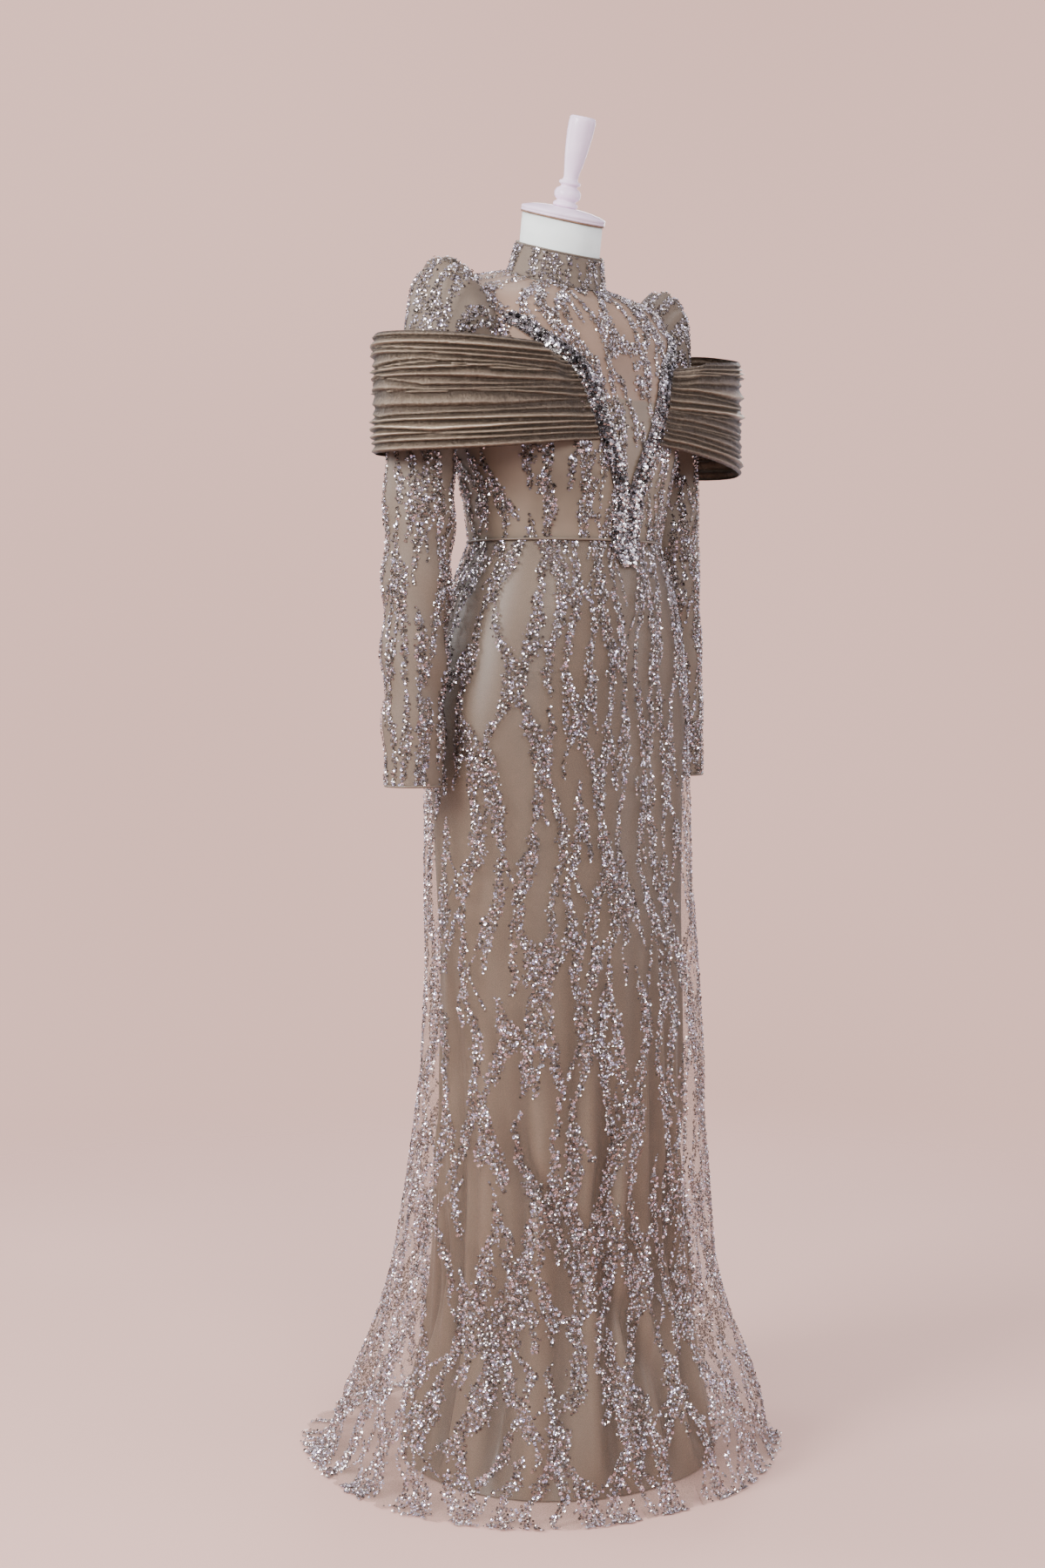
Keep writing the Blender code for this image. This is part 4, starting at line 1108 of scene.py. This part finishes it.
def front_face(across, heights):
    """Points of the gown's front at some x and heights, above or below the waist."""
    upper = heights >= WAIST
    row = body_rows(np.maximum(heights, WAIST))
    angle = angle_at(row, 0, across, 0.0, 0.5 * math.pi)
    points = body_points(angle, row)
    skirt_row = smooth_columns(SKIRT_RUNS, SKIRT, np.maximum(WAIST - heights, 0.0) * 1.03)
    lower = skirt_points(angle, skirt_row)
    lower[:, 2] = heights
    return np.where(upper[:, None], points, lower)


def trim_panel(side, rows, columns):
    """The ground of a jewelled trim, crowned along its middle."""
    heights = np.linspace(TRIM[-1, 0], TRIM[0, 0], rows)
    middle, half_width, lean = trim_middle(heights)
    shares = np.linspace(1.0, -1.0, columns)
    reach = shares[None, :] * (TRIM_SPREAD * half_width / np.hypot(lean, 1.0))[:, None]
    across = (middle[:, None] - reach).ravel()
    levels = (heights[:, None] + reach * lean[:, None]).ravel()
    points = front_face(np.maximum(across, 0.0004), levels).reshape(rows, columns, 3)
    outer = Panel(points, np.broadcast_to(shares, (rows, columns)).copy(), heights)
    crown = TRIM_LIFT + 0.0022 * (1.0 - shares ** 2)
    points = points + outer.normals * crown[None, :, None]
    points[..., 0] = AXIS[0] + side * (points[..., 0] - AXIS[0])
    return Panel(points, outer.angles, heights, outward=side)


def stone_mesh(name, places, normals, first, second, radii, random):
    """Cut stones as one mesh: a flat table, a ring of crown facets and a girdle, eight sides each."""
    count = len(places)
    sides = 8
    spin = random.uniform(0.0, TURN, count)
    longer = random.choice((1.0, 1.0, 1.35), count)
    points = np.empty((count, 3 * sides, 3))
    levels = ((1.0, 0.0), (0.96, 0.45), (0.52, 0.85))
    for level, (reach, rise) in enumerate(levels):
        for corner in range(sides):
            turn = TURN * (corner + 0.5 * (level % 2)) / sides
            ahead = np.cos(spin) * math.cos(turn) * longer - np.sin(spin) * math.sin(turn)
            aside = np.sin(spin) * math.cos(turn) * longer + np.cos(spin) * math.sin(turn)
            arm = first * ahead[:, None] + second * aside[:, None]
            points[:, level * sides + corner] = places + (arm * reach + normals * rise) * radii[:, None]
    start = (np.arange(count) * 3 * sides)[:, None, None]
    corners = np.arange(sides)
    following = (corners + 1) % sides
    walls = [
        np.stack((level * sides + corners, level * sides + following,
                  (level + 1) * sides + following, (level + 1) * sides + corners), axis=-1)
        for level in (0, 1)
    ]
    table = np.array([(16, 17, 18, 19), (16, 19, 20, 23), (20, 21, 22, 23)])
    faces = np.concatenate((*walls, table))[None]
    return mesh_object(name, points.reshape(-1, 3), (start + faces).reshape(-1, 4), smooth=False)


TRIM_ROWS = 150
TRIM_COLUMNS = 13

# the column of the trim that a row of stones follows, its pitch and the stones' radius
STONE_ROWS = (
    (1.6, 0.0058, 0.0021),
    (4.0, 0.0062, 0.0029),
    (6.6, 0.0068, 0.0033),
    (9.0, 0.0060, 0.0027),
    (10.8, 0.0058, 0.0021),
)


def make_trim():
    """Two jewelled bands: a dark beaded ground, five rows of stones and small beads between them."""
    for side, wearer_side, seed in ((1, "left", 51), (-1, "right", 52)):
        random = np.random.default_rng(seed)
        panel = trim_panel(side, TRIM_ROWS, TRIM_COLUMNS)
        name = f"jewel_trim_{wearer_side}"
        stones = []
        length = np.linalg.norm(np.diff(panel.points[:, 6], axis=0), axis=-1).sum()
        for place, pitch, size in STONE_ROWS:
            count = int(length / pitch)
            rows = (np.arange(count) + random.uniform(0.3, 0.7)) / count * (len(panel.points) - 1)
            rows += random.normal(0.0, 0.6, count)
            columns = place + random.normal(0.0, 0.55, count)
            rows = np.clip(rows, 0, TRIM_ROWS - 1.1)
            columns = np.clip(columns, 0.6, TRIM_COLUMNS - 1.6)
            stones.append((rows, columns, np.full(count, size)))
        rows, columns, sizes = (np.concatenate(part) for part in zip(*stones))
        sizes = sizes * random.uniform(0.70, 1.25, len(sizes))
        gems = stone_mesh(f"{name}_stones", *frames_at(panel, rows, columns, 0.0006), sizes, random)
        dress(gems, STONES)
        rows, columns = scatter(panel, 0.0024, random)
        places, normals, first, second = frames_at(panel, rows, columns, 0.0002)
        radii = random.uniform(0.0010, 0.0015, len(places))
        beads = bead_mesh(f"{name}_beads", places, normals, first, second, radii, random)
        dress(beads, BEADS)
        ground = shell(f"{name}_ground", panel, TRIM_GROUND, (name,))


# ---- Shoulder bands ------------------------------------------------------------------------------
def band_middle(turns, shares, top):
    """Points of a band on the left, from the trim to the centre back and from its bottom to its top."""
    row = smooth_columns(BANDS[:, 0], BANDS, turns)
    heights = row[:, 1] + (row[:, top] - row[:, 1]) * shares
    middle, half_width, lean = trim_middle(heights)
    begin = np.arcsin((middle + half_width * np.hypot(lean, 1.0) + BAND_GAP) / BAND_HALF_WIDTH)
    swing = begin + (math.pi - 0.003 - begin) * turns
    easing = 1.0 - BAND_EASE * np.exp(-((turns / 0.16) ** 2))
    depth = np.where(swing < 0.5 * math.pi, BAND_FRONT * easing, BAND_BACK)
    reach = BAND_HALF_WIDTH * np.sin(swing)
    free = AXIS + np.stack((reach, -depth * np.cos(swing), heights), axis=-1)
    near = np.minimum(np.minimum(turns / BAND_TRIM_SHARE, (1.0 - turns) / BAND_SEWN_SHARE), 1.0)
    sewn = 1.0 - near * near * (3.0 - 2.0 * near)
    body = body_rows(heights)
    sewn_x = np.minimum(reach, 0.9 * body[:, 3])
    before = angle_at(body, 0, sewn_x, 0.0, 0.5 * math.pi)
    mirrored = body.copy()
    mirrored[:, [4, 5]] = mirrored[:, [5, 4]]
    behind = math.pi - angle_at(mirrored, 0, sewn_x, 0.0, 0.5 * math.pi)
    angle = np.where(swing < 0.5 * math.pi, before, behind)
    step = 0.002
    on_body = body_points(angle, body)
    turned = body_points(angle + step, body) - body_points(angle - step, body)
    raised = body_points(angle, body_rows(heights + step)) - body_points(angle, body_rows(heights - step))
    normal = np.cross(turned, raised)
    normal /= np.linalg.norm(normal, axis=-1, keepdims=True)
    on_body = on_body + normal * BAND_LIFT
    on_body[:, 0] = free[:, 0]
    return free * (1.0 - sewn)[:, None] + on_body * sewn[:, None]


def band_panel(side, top, seed, rows, columns):
    """A pleated band: knife-edged pleats of uneven width along it, crinkled, drawn together at its ends."""
    random = np.random.default_rng(seed)
    turns = np.linspace(0.0, 1.0, columns)
    shares = np.linspace(1.0, 0.0, rows)
    turn_grid, share_grid = np.meshgrid(turns, shares)
    points = band_middle(turn_grid.ravel(), share_grid.ravel(), top).reshape(rows, columns, 3)
    base = Panel(points, turn_grid, shares)
    knots = np.linspace(0.0, 1.0, 7)
    drift = np.array([np.interp(turns, knots, random.normal(0.0, 0.75, 7)) for _ in range(BAND_PLEATS + 1)])
    widths = random.uniform(0.45, 1.5, BAND_PLEATS)
    edges = np.concatenate(([0.0], np.cumsum(widths) / widths.sum()))
    phase = np.empty((rows, columns))
    for column in range(columns):
        lines = edges + drift[:, column] / BAND_PLEATS * np.sin(math.pi * np.clip(edges, 0.0, 1.0))
        phase[:, column] = np.interp(1.0 - shares, np.sort(lines), np.arange(BAND_PLEATS + 1))
    tooth = phase - np.floor(phase)
    profile = np.where(tooth < 0.72, tooth / 0.72, (1.0 - tooth) / 0.28) ** 1.25
    heights = random.uniform(0.45, 1.25, BAND_PLEATS + 2)[np.floor(phase).astype(int)]
    slow = 9.0 * np.sin(TURN * turn_grid * 3.0)
    crinkle = np.sin(TURN * turn_grid * 47.0 + 5.0 * np.sin(9.0 * phase) + slow)
    crinkle += 0.7 * np.sin(TURN * turn_grid * 71.0 + 7.0 * phase)
    gather = 0.65 + 0.35 * np.clip(np.minimum(turn_grid, 1.0 - turn_grid) / 0.2, 0.0, 1.0)
    rise = profile * heights * gather
    depth = (BAND_PLEAT_DEPTH * rise - 0.5 * BAND_PLEAT_DEPTH) + 0.00035 * crinkle
    points = base.points + base.normals * depth[..., None]
    points[..., 0] = AXIS[0] + side * (points[..., 0] - AXIS[0])
    return Panel(points, turn_grid, shares, outward=side), rise


def make_bands():
    """Both pleated shoulder bands."""
    for side, wearer_side, top, seed in ((1, "left", 3, 61), (-1, "right", 2, 62)):
        panel, rise = band_panel(side, top, seed, 106, 165)
        name = f"shoulder_band_{wearer_side}"
        piece = shell(f"{name}_lame", panel, LAME, (name,))
        # The pleats' rise is kept as an attribute; the lame paints it as a highlight on the ridges and
        # shade in the grooves
        height = piece.data.attributes.new("rise", "FLOAT", "POINT")
        height.data.foreach_set("value", rise.astype(np.float32).ravel())


# ---- Dress form ----------------------------------------------------------------------------------
TORSO_HEIGHTS = (
    WAIST, 1.135, 1.155, 1.18, 1.2, 1.225, 1.245, 1.27, 1.297, 1.32, 1.342, 1.36, 1.38, 1.397,
    1.412, 1.417, 1.422, 1.426, 1.430,
)

# how far the torso is inside the bodice's outer face: heights, then distances
TORSO_EASE = (
    (WAIST, 1.2, 1.297, 1.412, 1.417, 1.422),
    (0.0068, 0.006, 0.0075, 0.0075, 0.0055, 0.0022),
)

# radius and distance up the neck
NECK_RINGS = (
    (0.0550, 0.004), (0.0505, 0.012), (0.0497, 0.018), (NECK_RADIUS, 0.024),
    (NECK_RADIUS, 0.050), (NECK_RADIUS, NECK_LENGTH),
)

# radius and height of the turned pieces, from their foot up
CAP_PROFILE = (
    (0.0002, 0.0), (0.0500, 0.0), (0.0511, 0.0003), (0.0515, 0.0010), (0.0515, 0.0021), (0.0509, 0.0026),
    (0.0515, 0.0031), (0.0515, 0.0056), (0.0511, 0.0064), (0.0500, 0.0070), (0.0430, 0.0092),
    (0.0340, 0.0112), (0.0240, 0.0124), (0.0120, 0.0130), (0.0002, 0.0130),
)
CAP_EDGE_PROFILE = (
    (0.0496, -0.0002), (0.0498, -0.0017), (0.0510, -0.0018), (0.0513, -0.0002), (0.0500, 0.0002),
)
FINIAL_PROFILE = (
    (0.0002, 0.0000), (0.0142, 0.0000), (0.0146, 0.0040), (0.0112, 0.0068), (0.0150, 0.0105),
    (0.0160, 0.0150), (0.0145, 0.0200), (0.0098, 0.0235), (0.0095, 0.0250), (0.0128, 0.0270),
    (0.0130, 0.0295), (0.0092, 0.0318), (0.0088, 0.0360), (0.0108, 0.0480), (0.0136, 0.0660),
    (0.0155, 0.0860), (0.0160, 0.0990), (0.0152, 0.1050), (0.0128, 0.1064), (0.0002, 0.1065),
)


def make_form():
    """The padded torso and neck, the turned cap and finial, and the finishes of the stand."""
    angles = np.linspace(0.0, TURN, 120, endpoint=False)
    rings = []
    for height in np.linspace(0.780, 1.0999, 14):
        run = np.interp(WAIST - height, WAIST - SKIRT[:, 0], SKIRT_RUNS)
        row = smooth_columns(SKIRT_RUNS, SKIRT, np.full(120, run))
        row[:, 0] = height
        row[:, 2:5] -= np.interp(height, (0.78, 1.0, WAIST), (0.0140, 0.0130, 0.0068))
        rings.append(skirt_points(angles, row))
    for height in TORSO_HEIGHTS:
        row = np.repeat(body_rows([height]), 120, axis=0)
        ease = np.interp(height, *TORSO_EASE)
        flat = np.interp(height, (1.40, 1.422), (1.0, 0.15))
        row[:, 3:6] -= ease * flat
        row[:, 0] -= ease * (1.0 - flat)
        rings.append(body_points(angles, row))
    for radius, rise in NECK_RINGS:
        rings.append(neck_ring(radius, rise, angles))
    middle = rings[-1].mean(axis=0)
    rings.append(middle + (rings[-1] - middle) * 0.02)
    foot = rings[0].mean(axis=0)
    rings.insert(0, foot + (rings[0] - foot) * 0.02)
    points = np.array(rings)
    faces = grid_faces(len(rings), 120, closed=True)[:, ::-1]
    torso = mesh_object("form_torso_jersey", points.reshape(-1, 3), faces)
    dress(torso, JERSEY, ("form_torso",))

    tilt_axis = np.array((0.0, -math.sin(NECK_TILT), math.cos(NECK_TILT)))
    cap_foot = neck_middle(NECK_LENGTH) + tilt_axis * 0.0003
    lathe("neck_cap_painted", CAP_PROFILE, cap_foot, NECK_TILT, WOOD, ("neck_cap",))
    lathe("neck_cap_edge", CAP_EDGE_PROFILE, cap_foot, NECK_TILT, EDGE_WOOD)
    finial_foot = cap_foot + tilt_axis * 0.0133
    lathe("finial_painted", smooth_profile(FINIAL_PROFILE, 72), finial_foot, NECK_TILT, WOOD,
          ("finial",))
    for name, material in (("stand_pole", STEEL), ("stand_base", WOOD)):
        node = bpy.data.objects[name]
        node.data.materials.clear()
        node.data.materials.append(material)


# ---- Stage ---------------------------------------------------------------------------------------
FLOOR_TONES = ((0.66, 0.405, 0.34), (0.71, 0.44, 0.37))
FLOOR_FADE = (1.2, 2.6)  # distances over which the floor fades into the backdrop
LAMP_AIM = (0.0, 0.0, 0.85)

# name, place, size and power
LAMPS = (
    ("key", (-2.9, 0.1, 2.3), 1.2, 150.0),
    ("front", (-1.4, -2.9, 2.2), 1.0, 62.0),
    ("fill", (2.4, -2.2, 1.5), 1.6, 26.0),
    ("top", (0.2, 0.2, 3.6), 2.0, 34.0),
    ("back_left", (-1.2, 2.9, 2.0), 1.2, 40.0),
    ("back_right", (2.6, 1.8, 2.0), 1.2, 46.0),
)


def make_stage():
    """A plain pale floor, soft studio light and the camera."""
    bpy.ops.mesh.primitive_plane_add(size=12.0, location=(0.0, 0.0, -0.0005))
    floor = bpy.context.object
    floor.name = "studio_floor"
    material, nodes, links, shader = new_material("studio_floor")
    noise_colour(nodes, links, shader, *FLOOR_TONES, 0.6, detail=2.0)
    shader.inputs["Roughness"].default_value = 0.8
    distance = placed_node(nodes, links, "ShaderNodeVectorMath")
    distance.operation = "LENGTH"
    fade = map_range(nodes, *FLOOR_FADE)
    fade.interpolation_type = "SMOOTHSTEP"
    clear = nodes.new("ShaderNodeBsdfTransparent")
    mix = nodes.new("ShaderNodeMixShader")
    links.new(distance.outputs["Value"], fade.inputs["Value"])
    links.new(fade.outputs["Result"], mix.inputs["Fac"])
    links.new(shader.outputs["BSDF"], mix.inputs[1])
    links.new(clear.outputs["BSDF"], mix.inputs[2])
    links.new(mix.outputs["Shader"], nodes["Material Output"].inputs["Surface"])
    floor.data.materials.append(material)

    world = bpy.data.worlds.new("studio")
    bpy.context.scene.world = world
    world.use_nodes = True
    nodes = world.node_tree.nodes
    links = world.node_tree.links
    coordinates = nodes.new("ShaderNodeTexCoord")
    light = nodes["Background"]
    light.inputs["Strength"].default_value = 0.72
    patches = add_node(nodes, "ShaderNodeTexNoise", scale=2.2, detail=3.0)
    tones = ramp(nodes, ((0.38, (0.12, 0.11, 0.11)), (0.50, (0.62, 0.58, 0.57)), (0.62, (2.3, 2.2, 2.7))))
    links.new(coordinates.outputs["Generated"], patches.inputs["Vector"])
    links.new(patches.outputs["Fac"], tones.inputs["Fac"])
    links.new(tones.outputs["Color"], light.inputs["Color"])
    seen = nodes.new("ShaderNodeBackground")
    drift = add_node(nodes, "ShaderNodeTexNoise", scale=1.1, detail=2.0)
    wall = ramp(nodes, ((0.35, (1.12, 0.68, 0.59)), (0.65, (1.36, 0.84, 0.73))))
    links.new(coordinates.outputs["Generated"], drift.inputs["Vector"])
    links.new(drift.outputs["Fac"], wall.inputs["Fac"])
    links.new(wall.outputs["Color"], seen.inputs["Color"])
    path = nodes.new("ShaderNodeLightPath")
    mix = nodes.new("ShaderNodeMixShader")
    links.new(path.outputs["Is Camera Ray"], mix.inputs["Fac"])
    links.new(light.outputs["Background"], mix.inputs[1])
    links.new(seen.outputs["Background"], mix.inputs[2])
    links.new(mix.outputs["Shader"], nodes["World Output"].inputs["Surface"])

    for name, place, size, power in LAMPS:
        lamp = bpy.data.lights.new(name, "AREA")
        lamp.energy = power
        lamp.size = size
        made = bpy.data.objects.new(name, lamp)
        made.location = place
        made.rotation_mode = "QUATERNION"
        made.rotation_quaternion = (Vector(LAMP_AIM) - Vector(place)).to_track_quat("-Z", "Y")
        bpy.context.scene.collection.objects.link(made)

    data = bpy.data.cameras.new("camera")
    data.sensor_width = 36.0
    data.lens = CAMERA_LENS
    camera = bpy.data.objects.new("camera", data)
    bpy.context.scene.collection.objects.link(camera)
    back = Vector((math.sin(CAMERA_AZIMUTH), -math.cos(CAMERA_AZIMUTH), 0.0)) * CAMERA_DISTANCE
    camera.location = Vector((AXIS[0], AXIS[1], CAMERA_HEIGHT)) + back
    camera.rotation_euler = (0.5 * math.pi + CAMERA_PITCH, 0.0, CAMERA_AZIMUTH + CAMERA_PAN)
    bpy.context.scene.camera = camera


def main():
    """Builds everything on the frame."""
    make_stage()
    make_skirts()
    make_bodice()
    make_sleeves()
    make_collar()
    make_trim()
    make_bands()
    make_form()


main()
